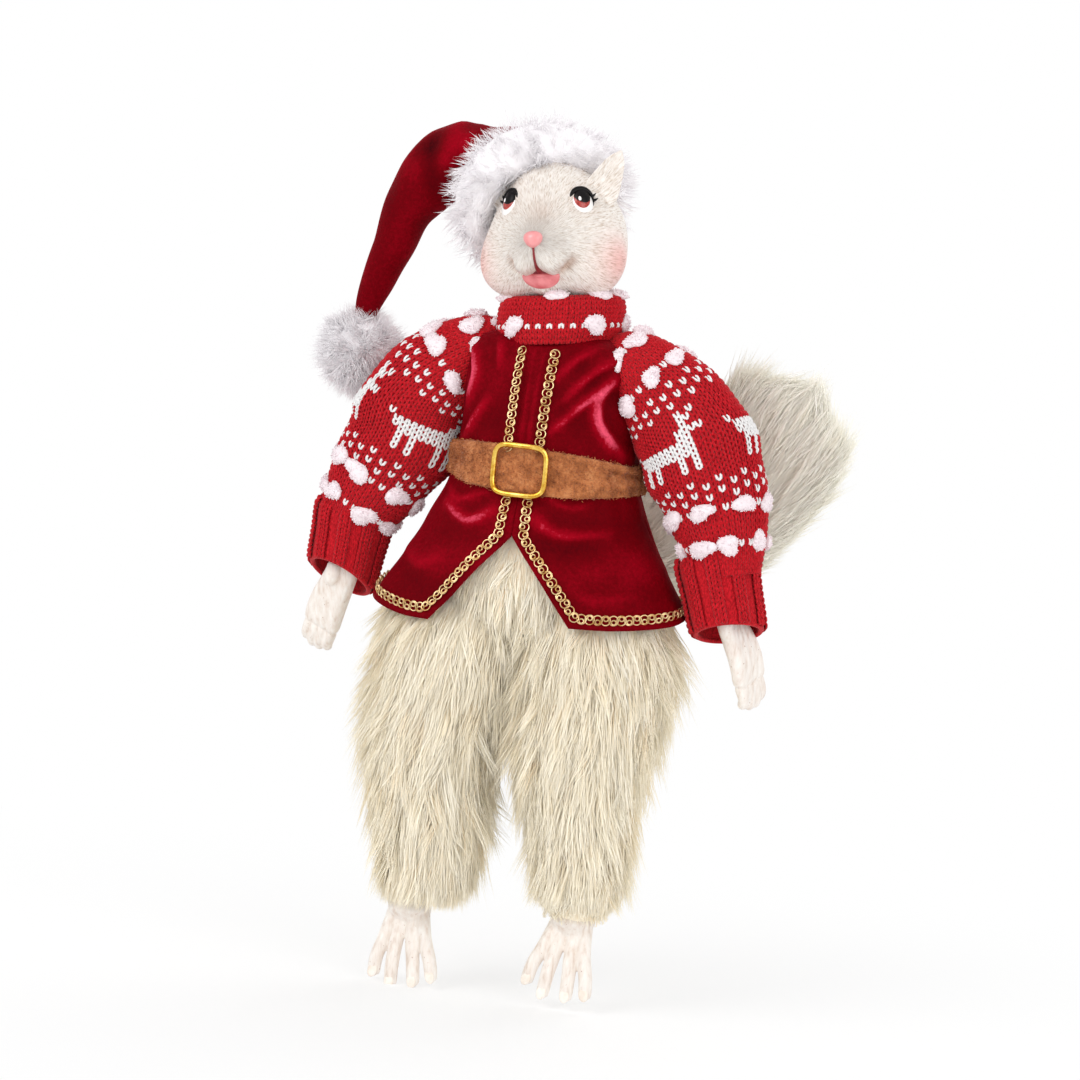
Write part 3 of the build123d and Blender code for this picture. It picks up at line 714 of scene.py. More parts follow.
def bobble(geometry, rng, center, out, around, along):
    """Soft white tuft, an oval lump with short fuzz."""
    size = np.array(BOBBLE_HALF) * rng.uniform(0.8, 1.15, 3)
    axes = np.stack([around, along, out])
    phases = rng.uniform(0, 2 * np.pi, 2)

    def uneven(ball):
        angle = np.arctan2(ball[:, 1], ball[:, 0])
        swell = 1 + 0.16 * np.cos(2 * angle + phases[0]) + 0.12 * np.cos(3 * angle + phases[1])
        return center + (ball * size * np.stack([swell, swell, np.ones_like(swell)], axis=-1)) @ axes

    def tuft(u, v):
        return uneven(ball_points(u, v))
    skin(geometry, tuft, 16, 9, slot=TUFT, tone=0.5)
    ball = unit(rng.normal(0, 1, (BOBBLE_FUZZ, 3)))
    ball[:, 2] = np.abs(ball[:, 2])
    roots = uneven(ball * 0.95)
    outs = ball @ axes
    fuzz = unit(outs + rng.normal(0, 0.7, (BOBBLE_FUZZ, 3)))
    tips = roots + fuzz * rng.uniform(0.6, 1.7, BOBBLE_FUZZ)[:, None]
    strands(geometry, roots, tips, fuzz * 0.1, 0.7, rng.normal(0.5, 0.14, BOBBLE_FUZZ), outs, TUFT)


def bobble_row(geometry, rng, surface, count, turn, v, scatter=0.12):
    """Tufts in a row round a knitted piece, none quite in its place."""
    u = (np.arange(count) + turn + rng.normal(0, scatter, count)) / count
    v = np.clip(v + rng.normal(0, 0.006, count), 0.01, 0.99)
    for center, out, around, along in zip(*surface_frame(surface, u, v)):
        bobble(geometry, rng, center + out * 1.4, out, around, along)


CUFF_AWAY = {"left": 0.0, "right": 9.0}
SLEEVE_SHARES = (0, 0.12, 0.3, 0.55, 0.8, 0.94, 1)
SLEEVE_RADII = (4, 17.5, 25, 30.5, 24.5, 18.5, 16)
SLEEVE_SEED = {"left": 51, "right": 52}


def sleeve_surface(side):
    """Stuffed sleeve from the collar to the cuff, which stands further out on the doll's right."""
    sign = SIDES[side]
    away = CUFF_AWAY[side]
    line = path_through([(sign * x, y, z) for x, y, z in
                         ((20, 0, 65), (46, 0, 54), (71, 2, 33), (87 - away / 2, 2, 6),
                          (98 - away / 5, 0, -20), (105 + away / 2, -2, -46))])

    def surface(u, v):
        ahead = heading(line, v)
        outward = unit(np.cross(BACK, ahead)) * sign
        behind = np.cross(ahead, outward) * sign
        angle = u * 2 * np.pi * sign
        radius = ease(SLEEVE_SHARES, SLEEVE_RADII, v)
        folds = 1 + 0.035 * np.sin(v * 30 + 2.2 * np.cos(angle)) * np.clip(1 - np.abs(v - 0.55) / 0.4, 0, 1)
        return line(v) + way_round(outward, behind, angle) * (radius * folds)[:, None]
    return surface


def make_sleeve(side):
    surface = sleeve_surface(side)
    rng = np.random.default_rng(SLEEVE_SEED[side])
    sleeve = Geometry()
    skin(sleeve, surface, 48, 60, slot=RED)
    knit(sleeve, surface, STITCH_COLUMNS, STITCH_ROWS, 0.84, sleeve_chart())
    for index, row in enumerate(BOBBLE_ROWS):
        bobble_row(sleeve, rng, surface, 8, 0.5 * (index % 2), (row + 0.5) / STITCH_ROWS)
    piece = sleeve.build(f"knit_sleeve_{side}", RED_YARN, WHITE_YARN, TUFT_FUR)
    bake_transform(piece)
    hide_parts(f"upper_sleeve_{side}", f"lower_sleeve_{side}")


CUFF_SLANT = {"left": 11.0, "right": 18.0}
CUFF_FROM_ELBOW = 43.0
CUFF_LENGTH = 47.0
CUFF_LINING = 2.2


def cuff_surface(side):
    """Ribbed cuff. Its opening is cut back in front, where the hand comes out."""
    elbow = PLACES[f"elbow_bend_{side}"]
    wrist = PLACES[f"hand_turn_{side}"]
    ahead = unit(wrist - elbow)
    first = unit(np.cross(BACK, ahead))
    start = elbow + ahead * CUFF_FROM_ELBOW

    def surface(u, v):
        angle = u * 2 * np.pi
        radius = ease([0, 0.12, 0.5, 0.9, 1], [19, 20.4, 19.4, 18.8, 18.2], v)
        out = way_round(first, BACK, angle)
        cut = CUFF_SLANT[side] * (1 - np.sin(angle)) / 2
        away = np.array([SIDES[side] * CUFF_AWAY[side], 0, 0]) * (1 - 0.6 * v)[:, None]
        return start + away + ahead * (v * (CUFF_LENGTH - cut))[:, None] + out * radius[:, None]
    return surface


def make_cuff(side):
    surface = cuff_surface(side)
    columns, rows = 40, 13
    ribs = np.where(np.arange(columns) % 4 < 2, 0.8, -1.2)
    cuff = Geometry()
    skin(cuff, surface, 48, 12, slot=RED)

    def lining(u, v):
        return surface(1 - u, v) - surface_frame(surface, 1 - u, v)[1] * CUFF_LINING
    skin(cuff, lining, 48, 12, slot=RED)
    knit(cuff, surface, columns, rows, 0.92, np.zeros((rows, columns), int), ribs)
    u = np.linspace(0, 1, 60, endpoint=False)
    edge = (surface(u, np.ones(60)) + lining(1 - u, np.ones(60))) / 2
    tube(cuff, edge, 1.5, 8, slot=RED, closed=True)
    piece = cuff.build(f"knit_cuff_{side}", RED_YARN)
    place(piece, f"forearm_{side}", "red_knit", f"cuff_{side}")


COLLAR_PIVOT = np.array([0.0, 0.0, 77.8])
COLLAR_TILT = 0.122


def collar_surface(u, v):
    """Rolled collar, which stands a little higher on the doll's left."""
    angle = u * 2 * np.pi
    radius = ease([0, 0.25, 0.6, 0.85, 1], [30, 32.4, 32.4, 30.6, 26], v)
    lift = ease([0, 0.25, 0.6, 0.85, 1], [-12.5, -5, 4, 10.5, 12], v)
    across, behind = np.cos(angle) * radius, np.sin(angle) * radius
    return COLLAR_PIVOT + np.stack([across, behind, lift + COLLAR_TILT * across], axis=-1)


def make_collar():
    rng = np.random.default_rng(61)
    columns, rows = 68, 11
    chart = np.zeros((rows, columns), int)
    chart[3, ::2] = WHITE
    collar = Geometry()
    skin(collar, collar_surface, columns, 16, slot=RED)
    knit(collar, collar_surface, columns, rows, 0.85, chart)
    bobble_row(collar, rng, collar_surface, 6, 0.25, 0.34)
    bobble_row(collar, rng, collar_surface, 7, 0.3, 0.94, 0.3)
    piece = collar.build("knit_collar", RED_YARN, WHITE_YARN, TUFT_FUR)
    place(piece, "torso", "red_knit", "collar")


for side in SIDES:
    make_sleeve(side)
    make_cuff(side)
make_collar()

# Vest: velvet bodice, two front flaps, a vented back skirt, plaited gold braid and a belt
SEAM = -4.0
SHOULDER = 71.0
BELT_WIDTH = 23.6
SLIT_TOP = -34.0
SLIT_HALF_WIDTH = 42.0
VENT_HALF_WIDTH = 27.0
CLOTH = 1.6
BRAID_INSET = 6.6
BRAID_LIFT = 0.4
LOOP_PITCH = 4.2
LEVEL = np.array([1.0, 1.0, 0.0])
HEM_LIFT = {"left": 5.0, "right": 0.0}
WAIST_HALF = (48.5, 41.5)
HEM_HALF = (90.5, 62.0)
CHEST_HEIGHTS = (0, 15, 30, 45, 58, 66, SHOULDER)
CHEST_HALF = ((WAIST_HALF[0], 48, 46.5, 45.5, 44, 40, 30), (WAIST_HALF[1], 41, 39, 36, 32, 28, 22))


def vest_size(z):
    """Half width and half depth of the vest at a height."""
    below = np.clip(z / HEM, 0, 1.2) ** 1.27
    return tuple(np.where(z < 0, waist + (hem - waist) * below, ease(CHEST_HEIGHTS, chest, z))
                 for waist, hem, chest in zip(WAIST_HALF, HEM_HALF, CHEST_HALF))


def vest_place(turn, z, out=0.0):
    """Place on the vest at a turn from the front towards the doll's left, in degrees."""
    angle = np.radians(turn)
    half_width, half_depth = vest_size(z)
    gather = np.clip(1 - np.abs(z - 2) / 26, 0, 1) * 0.9 * np.sin(angle * 17 + np.sin(angle * 5) * 2)
    flare = np.clip(z / HEM, 0, 1) ** 2 * 2.6 * np.sin(angle * 5 + 0.8)
    grow = gather + flare + out
    square = 2 + 1.1 * np.clip((z - 20) / 30, 0, 1)
    reach = (np.abs(np.sin(angle)) ** square + np.abs(np.cos(angle)) ** square) ** (-1 / square)
    across = (half_width + grow) * reach * np.sin(angle)
    behind = -(half_depth + grow) * reach * np.cos(angle)
    return np.stack([across, behind, np.broadcast_to(z, angle.shape)], axis=-1)


def path_outs(path):
    """Level ways out from the doll's middle."""
    return unit(np.asarray(path) * LEVEL)


def cloth_sheet(geometry, places, rows, columns, thickness=CLOTH, closed=False, slot=0, tone=0.32):
    """Cloth of real thickness on a grid of places, with its edges closed."""
    grid = places.reshape(rows, columns, 3)
    if closed:
        around = np.roll(grid, -1, 1) - np.roll(grid, 1, 1)
    else:
        around = np.gradient(grid, axis=1)
    outs = unit(np.cross(around, np.gradient(grid, axis=0)))
    inner = (grid - outs * thickness).reshape(-1, 3)
    faces = grid_faces(rows, columns, closed)
    total = rows * columns
    ids = np.arange(total).reshape(rows, columns)
    edges = [np.append(ids[0], ids[0][:1]) if closed else ids[0],
             (np.append(ids[-1], ids[-1][:1]) if closed else ids[-1])[::-1]]
    if not closed:
        edges += [ids[::-1, 0], ids[:, -1]]
    sides = np.vstack([np.stack([edge[1:], edge[:-1], edge[:-1] + total, edge[1:] + total], axis=-1)
                       for edge in edges])
    return geometry.add(np.vstack([grid.reshape(-1, 3), inner]),
                        np.vstack([faces, faces[:, ::-1] + total, sides]), slot=slot,
                        tone=np.tile(np.broadcast_to(tone, total), 2))


def painted_fold_light(height):
    """Painted light and shade of velvet folds: a tone from their height in millimetres, pale as a highlight
    on ridges and dark as shade in hollows.
    """
    return np.clip(0.32 + height * 0.12, 0, 0.9)


def drawn_folds(across, up, folds):
    """Height of folds that run along paths on the front of the cloth, each with a shallow dip beside it."""
    height = np.zeros(len(across))
    share = np.linspace(0, 1, 40)
    for path, rise, width in folds:
        line = path_through([(x, 0, z) for x, z in path])(share)
        distances = np.hypot(across[:, None] - line[:, 0], up[:, None] - line[:, 2])
        nearest = np.argmin(distances, axis=1)
        near = distances[np.arange(len(across)), nearest]
        taper = np.sqrt(np.clip(np.sin(np.pi * (0.06 + 0.88 * share[nearest])), 0, 1))
        ridge = 1.3 * np.exp(-(near / width) ** 2) - 0.3 * np.exp(-(near / width / 2.2) ** 2)
        height += rise * taper * ridge
    return height


CHEST_FOLDS = (
    ([(31, 69), (21, 60), (12, 49)], 2.2, 2.8),
    ([(41, 63), (28, 51), (17, 37)], 2.6, 3.0),
    ([(40, 52), (28, 38), (13, 21)], 3.2, 2.8),
    ([(39, 48), (34, 39), (34, 29), (39, 19), (46, 9)], 4.0, 3.0),
    ([(-25, 69), (-21, 61), (-20, 52)], 2.2, 2.4),
    ([(-38, 61), (-33, 47), (-37, 31)], 3.2, 3.0),
    ([(-24, 34), (-32, 22), (-41, 9)], 2.4, 3.0),
    ([(2.6, 60), (2.2, 34), (2.4, 12)], 1.0, 1.6),
    ([(-2.6, 60), (-2.2, 34), (-2.4, 12)], 1.0, 1.6),
)


def make_bodice():
    rows, columns = 84, 240
    z, turn = np.meshgrid(np.linspace(SEAM, SHOULDER, rows), np.arange(columns) * 360 / columns,
                          indexing="ij")
    z, turn = z.ravel(), turn.ravel()
    places = vest_place(turn, z)
    strength = np.clip((z - 2) / 16, 0, 1) * np.clip((SHOULDER - 2 - z) / 8, 0, 1)
    in_front = np.clip(-places[:, 1] / 8, 0, 1)
    slant = np.stack([places[:, 0] + np.sign(places[:, 0]) * z * 0.9, places[:, 1], z * 0.35], -1)
    loose = ripple(slant, 15, 1) * (0.9 + 1.4 * (1 - in_front)) + ripple(places, 9, 2) * 0.5
    wrinkle = (drawn_folds(places[:, 0], z, CHEST_FOLDS) * in_front + loose) * strength
    places = places + path_outs(places) * wrinkle[:, None]
    bodice = Geometry()
    # Fold heights set the painted highlights on ridges and painted shade in hollows
    cloth_sheet(bodice, places, rows, columns, closed=True, tone=painted_fold_light(wrinkle))
    piece = bodice.build("velvet_bodice", VELVET)
    place(piece, "torso", "velvet", "vest_bodice")


def hem_height(turn, side="right"):
    """The hem is lowest beside the slit and rises to the doll's sides, less so on its left."""
    outward = np.clip((np.abs(turn) - 38) / 52, 0, 1)
    return HEM + 12 * outward ** 1.2 + HEM_LIFT[side] * (1 - outward)


def slit_turn(z):
    """Turn of a flap's slit edge from the front at a height."""
    half = SLIT_HALF_WIDTH * np.clip((SLIT_TOP - z) / (SLIT_TOP - HEM), 0, 1) + 0.1
    return np.degrees(np.arcsin(np.clip(half / vest_size(z)[0], 0, 1)))


def flap_place(side, share, drop, out=0.0):
    """Place on a flap: share goes from the slit to the side seam and drop from the waist to the hem."""
    turn = 40 + 55 * share
    for _ in range(4):
        z = SEAM + (hem_height(turn, side) - SEAM) * drop
        turn = slit_turn(z) + (SIDE_SEAM_TURN - slit_turn(z)) * share
    return vest_place(SIDES[side] * turn, z, out)


SIDE_SEAM_TURN = 95.0
FLAP_FOLDS = {
    "left": (([(10, -24), (24, -31), (46, -29)], 3.0, 3.6), ([(14, -12), (26, -17), (36, -15)], 1.6, 2.6),
             ([(34, -58), (46, -63), (62, -60)], 1.2, 4.0)),
    "right": (([(12, -22), (26, -29), (42, -22)], 2.8, 3.2), ([(18, -13), (34, -19), (44, -14)], 1.8, 2.6),
              ([(40, -50), (52, -55), (64, -50)], 1.4, 4.0)),
}


def make_flap(side):
    rows, columns = 60, 80
    drop, share = np.meshgrid(np.linspace(0, 1, rows), np.linspace(0, 1, columns), indexing="ij")
    places = flap_place(side, share.ravel(), drop.ravel())
    outs = path_outs(places)
    wave = drawn_folds(np.abs(places[:, 0]), places[:, 2], FLAP_FOLDS[side])
    wave = wave + ripple(places * np.array([0.5, 0.5, 1.2]), 24, 3) * 1.4 + ripple(places, 12, 8) * 0.5
    wave = wave * np.clip(drop.ravel() * 6, 0, 1) * np.clip((1 - drop.ravel()) * 5, 0.15, 1)
    places = places + outs * wave[:, None]
    grid = places.reshape(rows, columns, 3)
    order = slice(None, None, -1) if side == "left" else slice(None)
    # Fold heights set the painted highlights on ridges and painted shade in hollows
    tone = painted_fold_light(wave).reshape(rows, columns)[:, order].ravel()
    flap = Geometry()
    cloth_sheet(flap, grid[:, order].reshape(-1, 3), rows, columns, tone=tone)
    piece = flap.build(f"velvet_flap_{side}", VELVET)
    crumple_flap(piece)
    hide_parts(f"vest_flap_{side}")
    return grid


def crumple_flap(piece):
    """The flap hangs from the torso, with a mesh of its own."""
    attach(piece, "torso")
    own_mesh(piece)


def make_back_skirt():
    """Two halves from the side seams to the vent that the tail comes through."""
    skirt = Geometry()
    rows, columns = 44, 60
    edges = []
    for sign in (1.0, -1.0):
        drop, share = np.meshgrid(np.linspace(0, 1, rows), np.linspace(0, 1, columns), indexing="ij")
        drop, share = drop.ravel(), share.ravel()
        z = SEAM + (hem_height(np.full(len(drop), 90.0)) - SEAM) * drop
        half = VENT_HALF_WIDTH * np.sqrt(np.clip((SLIT_TOP - z) / 26, 0, 1))
        vent = 180 - np.degrees(np.arcsin(half / vest_size(z)[0]))
        turn = 93 + (vent - 93) * share
        places = vest_place(sign * turn, z)
        wave = ripple(places * [1, 1, 0.45], 17, 4) * 1.8 * drop
        places = places + path_outs(places) * wave[:, None]
        grid = places.reshape(rows, columns, 3)
        cloth_sheet(skirt, (grid[:, ::-1] if sign > 0 else grid).reshape(-1, 3), rows, columns)
        edges.append(grid)
    piece = skirt.build("velvet_back_skirt", VELVET)
    place(piece, "torso", "velvet", "vest_back_skirt")
    return edges


def plait(geometry, path, outs):
    """Gimp braid: a chain of overlapping loops of gold cord along a path on the cloth."""
    path, outs = np.asarray(path, float), np.asarray(outs, float)
    lengths = running_length(path)
    count = int(lengths[-1] / LOOP_PITCH)
    steps = (np.arange(count) + 0.5) * lengths[-1] / count
    line = between(steps, lengths, path)
    out = unit(between(steps, lengths, outs))
    ahead = unit(np.gradient(line, axis=0))
    across = unit(np.cross(out, ahead))
    angle = np.arange(14) / 14 * 2 * np.pi
    for index, (center, way_out, way_on, way_across) in enumerate(zip(line, out, ahead, across)):
        lean = 0.9 if index % 2 else -0.9
        for size, height, aside in ((1.0, 0.75, 0.0), (0.46, 1.0, lean)):
            loop = (center + way_on * (np.cos(angle) * 2.35 * size)[:, None]
                    + way_across * (np.sin(angle) * 2.5 * size + aside)[:, None]
                    + way_out * (height + 0.35 * np.cos(angle))[:, None])
            tube(geometry, loop, 0.38, 5, closed=True)


def make_front_braids():
    for side, sign in SIDES.items():
        z = np.linspace(63, 9, 60)
        x = sign * (8 + np.clip(z / 60, 0, 1) * 0.5)
        path = vest_place(np.degrees(np.arcsin(x / vest_size(z)[0])), z, 1.0)
        braid = Geometry()
        plait(braid, path, path_outs(path))
        piece = braid.build(f"front_gimp_{side}", GOLD_THREAD)
        place(piece, "torso", "gold_braid", f"front_braid_{side}")


def make_flap_braid(side, grid):
    """Braid down the slit and along the hem of a flap."""
    rows = len(grid)
    width = np.linalg.norm(grid[-1, 1] - grid[-1, 0])
    inward = max(2, int(round(BRAID_INSET / width)))
    down = grid[5:rows - 5, inward]
    along = grid[rows - 5, inward:]
    path = np.vstack([down, along])
    outs = path_outs(path)
    braid = Geometry()
    plait(braid, path + outs * BRAID_LIFT, outs)
    piece = braid.build(f"flap_gimp_{side}", GOLD_THREAD)
    crumple_flap(piece)
    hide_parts(f"flap_braid_{side}")


def make_back_braid(edges):
    braid = Geometry()
    for grid in edges:
        path = grid[-5, 1:-2]
        outs = path_outs(path)
        plait(braid, path + outs * BRAID_LIFT, outs)
    piece = braid.build("back_gimp", GOLD_THREAD)
    place(piece, "torso", "gold_braid", "back_hem_braid")


BELT_FIBRES = 15000


def make_belt():
    """Worn strap that narrows at the doll's sides, with a short nap of fibres on it."""
    rows, columns = 26, 200
    share, turn = np.meshgrid(np.linspace(-1, 1, rows), np.arange(columns) * 360 / columns, indexing="ij")
    share, turn = share.ravel(), turn.ravel()
    sideways = np.abs(np.sin(np.radians(turn)))
    half = BELT_WIDTH / 2 - 4.6 * sideways ** 3
    z = share * half - 1.5 * np.sin(np.radians(turn))
    places = vest_place(turn, z, 2.4)
    wrinkle = ripple(np.stack([turn * 0.35, share * 14, 0 * turn], axis=-1), 6.5, 5) * (0.5 + 1.3 * sideways)
    rounded = -1.1 * np.abs(share) ** 6
    crease = -2.2 * np.exp(-((z - 3 + (turn - 60) * 0.10) / 1.6) ** 2) * np.exp(-((turn - 68) / 22) ** 2)
    places = places + path_outs(places) * (wrinkle + rounded + crease)[:, None]
    belt = Geometry()
    cloth_sheet(belt, places, rows, columns, thickness=2.0, closed=True)
    nap = np.random.default_rng(81)
    chosen = nap.integers(0, rows * columns, BELT_FIBRES)
    roots = places[chosen] + nap.normal(0, 0.45, (BELT_FIBRES, 3)) * np.array([1, 0.3, 1])
    outs = path_outs(roots)
    fibres = unit(outs + nap.normal(0, 0.6, (BELT_FIBRES, 3)))
    fibres = fibres * nap.uniform(0.7, 1.5, (BELT_FIBRES, 1))
    fuzz = Geometry()
    strands(fuzz, roots, roots + fibres, None, 0.5, np.full(BELT_FIBRES, 0.5), outs)
    piece, fuzz_piece = belt.build("suede_belt", SUEDE), fuzz.build("suede_fuzz", SUEDE)
    place(piece, "torso", "suede", "belt_strap")
    place(fuzz_piece, "torso", "suede")


BUCKLE_HALF = (14.2, 12.8)
BUCKLE_SQUARENESS = 0.42
BUCKLE_FRONT = -47.6
BUCKLE_WIRE = 1.5


def make_buckle():
    """Frame of round wire with round corners, bent to the waist."""
    steps = 96
    angle = np.arange(steps) / steps * 2 * np.pi
    across, rise = (half * np.sign(wave) * np.abs(wave) ** BUCKLE_SQUARENESS
                    for half, wave in zip(BUCKLE_HALF, (np.cos(angle), np.sin(angle))))
    path = np.stack([across, BUCKLE_FRONT + across ** 2 * 0.010, rise], axis=-1)
    ring = np.vstack([path, path[:1]])
    lengths = running_length(ring)
    even = between(np.linspace(0, lengths[-1], steps + 1)[:-1], lengths, ring)
    buckle = Geometry()
    tube(buckle, even, BUCKLE_WIRE, 14, closed=True)
    piece = buckle.build("gold_buckle", GOLD_METAL)
    place(piece, "torso", "gold_metal", "belt_buckle")


make_bodice()
for side in SIDES:
    make_flap_braid(side, make_flap(side))
make_back_braid(make_back_skirt())
make_front_braids()
make_belt()
make_buckle()

# Head: one cast and painted piece with ears, eyes, nose and mouth
HEAD_HEART = np.array([0.0, 0.0, 42.0])
HEAD_HALF = np.array([35.5, 36.0, 37.0])
CHEEK = (0.88, -0.38, -0.29)
EYE = (0.551, -0.634, 0.543)
MOUTH = (0.0, -0.868, -0.495)
NOSE_TIP = np.array([0.0, -46.4, 41.5])
NOSE_HALF = (5.0, 3.6, 4.4)
HEAD_BOTTOM = 7.0
CARVED, NOSE_PINK, MOUTH_RED, TONGUE, EYE_WHITE, IRIS, EYE_BLACK = range(7)

# Swells and dents of the face: the way from the head's heart, the height and the spread in radians.
# Those of the first list lie at the middle, and each of the second has a mirror twin.
MIDDLE_BUMPS = (
    ((0.0, -0.95, -0.22), 6.8, 0.36), ((0.0, -1.0, -0.03), 6.0, 0.25), ((-0.1, -0.25, 0.95), 6.0, 0.55),
    ((0.0, -0.76, -0.65), 4.2, 0.17), (MOUTH, -5.4, 0.15), ((0.0, -0.85, 0.36), -1.8, 0.26),
)
TWIN_BUMPS = (
    ((0.86, -0.42, -0.29), 6.4, 0.42), ((0.70, -0.42, -0.58), 4.5, 0.34),
    ((0.19, -0.92, -0.33), 6.6, 0.145), (EYE, -1.6, 0.25), ((0.44, -0.58, 0.68), 1.0, 0.16),
    ((0.30, -0.88, -0.43), -3.2, 0.07), ((0.38, -0.86, -0.38), -3.4, 0.07),
    ((0.45, -0.84, -0.31), -2.6, 0.07),
)


def mirrored(way, sign):
    return np.array(way) * np.array([sign, 1.0, 1.0])


BUMPS = MIDDLE_BUMPS + tuple((mirrored(way, sign), amount, spread)
                             for way, amount, spread in TWIN_BUMPS for sign in SIDES.values())


def near_way(ways, way, spread):
    """1 along a way from the head's heart, and fading to 0 about the spread away from it."""
    return np.exp(-(np.arccos(np.clip(ways @ unit(way), -1, 1)) / spread) ** 2)


def head_reach(ways):
    """Distance of the face from the head's heart along unit ways in the head's frame."""
    reach = 1 / np.linalg.norm(ways / HEAD_HALF, axis=-1)
    for way, amount, spread in BUMPS:
        reach = reach + amount * near_way(ways, way, spread)
    lip_line = np.exp(-(ways[:, 0] / 0.032) ** 2) * np.clip((ways[:, 2] + 0.5) * 8, 0, 1)
    reach = reach - 1.5 * lip_line * (ways[:, 1] < -0.5) * np.clip((-0.04 - ways[:, 2]) * 12, 0, 1)
    return reach


def on_face(ways, lift=0.0):
    """Places on the face along ways from the head's heart."""
    return HEAD_HEART + ways * (head_reach(ways) + lift)[:, None]


def in_head(points):
    """Row places of points in the head's frame."""
    return on_head(points[:, 0], points[:, 1], points[:, 2])


def lump(center, axes, sizes, columns=24, rows=13):
    """Points and faces of an oval lump with given axes and half sizes."""
    u, v = np.meshgrid(np.arange(columns) / columns, np.linspace(0, 1, rows))
    ball = ball_points(u.ravel(), v.ravel()) * np.asarray(sizes)
    return np.asarray(center) + ball @ np.asarray(axes), grid_faces(rows, columns, True)


# Parts of an eye in paint order: material, place across, up and out from its seat, and half sizes
EYE_PARTS = (
    (EYE_WHITE, (0, -0.7, 0), (6.6, 7.9, 3.2)),
    (IRIS, (0, 0.2, 0.75), (5.2, 6.2, 3.0)),
    (EYE_BLACK, (0.2, 1.7, 1.4), (4.6, 5.6, 2.7)),
    # The small white lump is a painted highlight
    (EYE_WHITE, (-1.5, 0.9, 3.6), (0.9, 1.3, 0.6)),
)
LASH_TURNS = (6, 24)


def face_axes(out):
    """Ways to the side, up and out at a place on the face."""
    up = unit(UP - out * (out @ UP))
    return np.stack([np.cross(up, out), up, out])


def add_eye(head, sign):
    """Painted eye: white, red iris, black pupil, a painted highlight, a dark lid and lashes."""
    axes = face_axes(unit(mirrored(EYE, sign) - np.array([0.0, 0.16, 0.16])))
    seat = on_face(unit(mirrored(EYE, sign))[None], -1.4)[0]
    for slot, offset, sizes in EYE_PARTS:
        points, faces = lump(seat + np.array(offset) @ axes, axes, sizes)
        head.add(in_head(points), faces, slot=slot)
    angle = np.radians(np.linspace(200, -20, 30))
    across, rise = np.cos(angle), np.sin(angle)
    lid = seat + np.stack([6.5 * across, 0.2 + 6.7 * rise, 1.0 + 0.9 * rise], -1) @ axes
    tube(head, in_head(lid), 0.3 + 1.35 * np.clip(rise, 0, 1), 8, slot=EYE_BLACK)
    for turn in LASH_TURNS:
        side_turn = math.radians(turn if sign > 0 else 180 - turn)
        start = np.array([6.6 * math.cos(side_turn), 7.2 * math.sin(side_turn), 1.0])
        middle, end = start * [1.22, 1.18, 1] + [0, 0.3, 0.3], start * [1.42, 1.28, 1] + [0, 1.1, 0.2]
        lash = seat + np.stack([start, middle, end]) @ axes
        tube(head, in_head(lash), np.array([0.9, 0.6, 0.15]), 5, slot=EYE_BLACK)


def add_ear(head, sign):
    """Pointed ear with a dished front."""
    base, tip = np.array([sign * 20.0, -8.0, 56.0]), np.array([sign * 38.0, -11.0, 87.0])
    ahead = unit(tip - base)
    front = unit(np.array([sign * 0.25, -1.0, 0.1]))
    across = unit(np.cross(ahead, front))
    front = np.cross(across, ahead)

    def ear(u, v):
        angle = u * 2 * np.pi
        width = ease([0, 0.3, 0.6, 0.85, 1], [9.5, 9.4, 7.4, 4.4, 0.6], v)
        depth = ease([0, 0.5, 1], [5.0, 3.4, 0.3], v)
        dish = np.clip(np.sin(angle), 0, 1) ** 1.5 * np.clip(v - 0.05, 0, 0.5) * depth * 2.9
        return (base + (tip - base) * v[:, None] + across * (np.cos(angle) * width)[:, None]
                + front * (np.sin(angle) * depth - dish)[:, None])
    rows, columns = 24, 36
    v, u = np.meshgrid(np.linspace(0, 1, rows), np.arange(columns) / columns, indexing="ij")
    head.add(in_head(ear(u.ravel(), v.ravel())), grid_faces(rows, columns, True), slot=CARVED)


def add_mouth(head):
    """Dark inside, a pink tongue in an open smile and the red line up to the nose."""
    way = unit(MOUTH)
    seat = on_face(way[None], 1.0)[0]
    axes = face_axes(way)
    up = axes[1]
    points, faces = lump(seat + np.array([0, 3.4, 0.6]) @ axes, axes, (7.6, 4.4, 2.6))
    head.add(in_head(points), faces, slot=MOUTH_RED)
    middle = seat + np.array([0, 0.4, 1.8]) @ axes
    points, faces = lump(middle, axes, (10.2, 7.8, 2.8), 40, 17)
    rise = (points - middle) @ up
    points = points - np.clip(rise, 0, None)[:, None] * up * 0.75
    hollow = 0.9 * np.exp(-(rise / 2.2) ** 2 - (((points - middle) @ axes[0]) / 6.0) ** 2)
    head.add(in_head(points - hollow[:, None] * way), faces, slot=TONGUE)
    steps = 12
    drop = np.linspace(-0.06, -0.44, steps)
    ways = unit(np.stack([np.zeros(steps), np.full(steps, -0.93), drop], axis=-1))
    width = ease([0, 0.5, 0.8, 1], [0.7, 0.9, 1.6, 2.8], np.linspace(0, 1, steps))
    tube(head, in_head(on_face(ways, -0.2)), width, 10, slot=MOUTH_RED)


def painted_resin():
    """Cast resin with fine carved lines that run out from the nose, blushed cheeks and painted shade in
    dents.
    """
    material, tree, shader = new_material("painted_resin", Roughness=0.5)
    carved = add_node(tree, "ShaderNodeTexNoise", {"Vector": value_of(tree, "comb", "Vector")},
                      Scale=1.0, Detail=2.0, Roughness=0.5).outputs["Fac"]
    color = color_ramp(tree, carved, [(0.28, srgb(202, 184, 168)), (0.46, srgb(235, 226, 217)),
                                      (0.64, srgb(247, 241, 235))])
    # Blush is paint, and the second tint is painted shade in the dents
    for name, tint in (("blush", srgb(255, 182, 180)), ("painted_dent_shade", srgb(206, 164, 140))):
        color = tinted(tree, color, tint, value_of(tree, name))
    paint(shader, color)
    bump(tree, shader, carved, 0.9, 0.001)
    return material


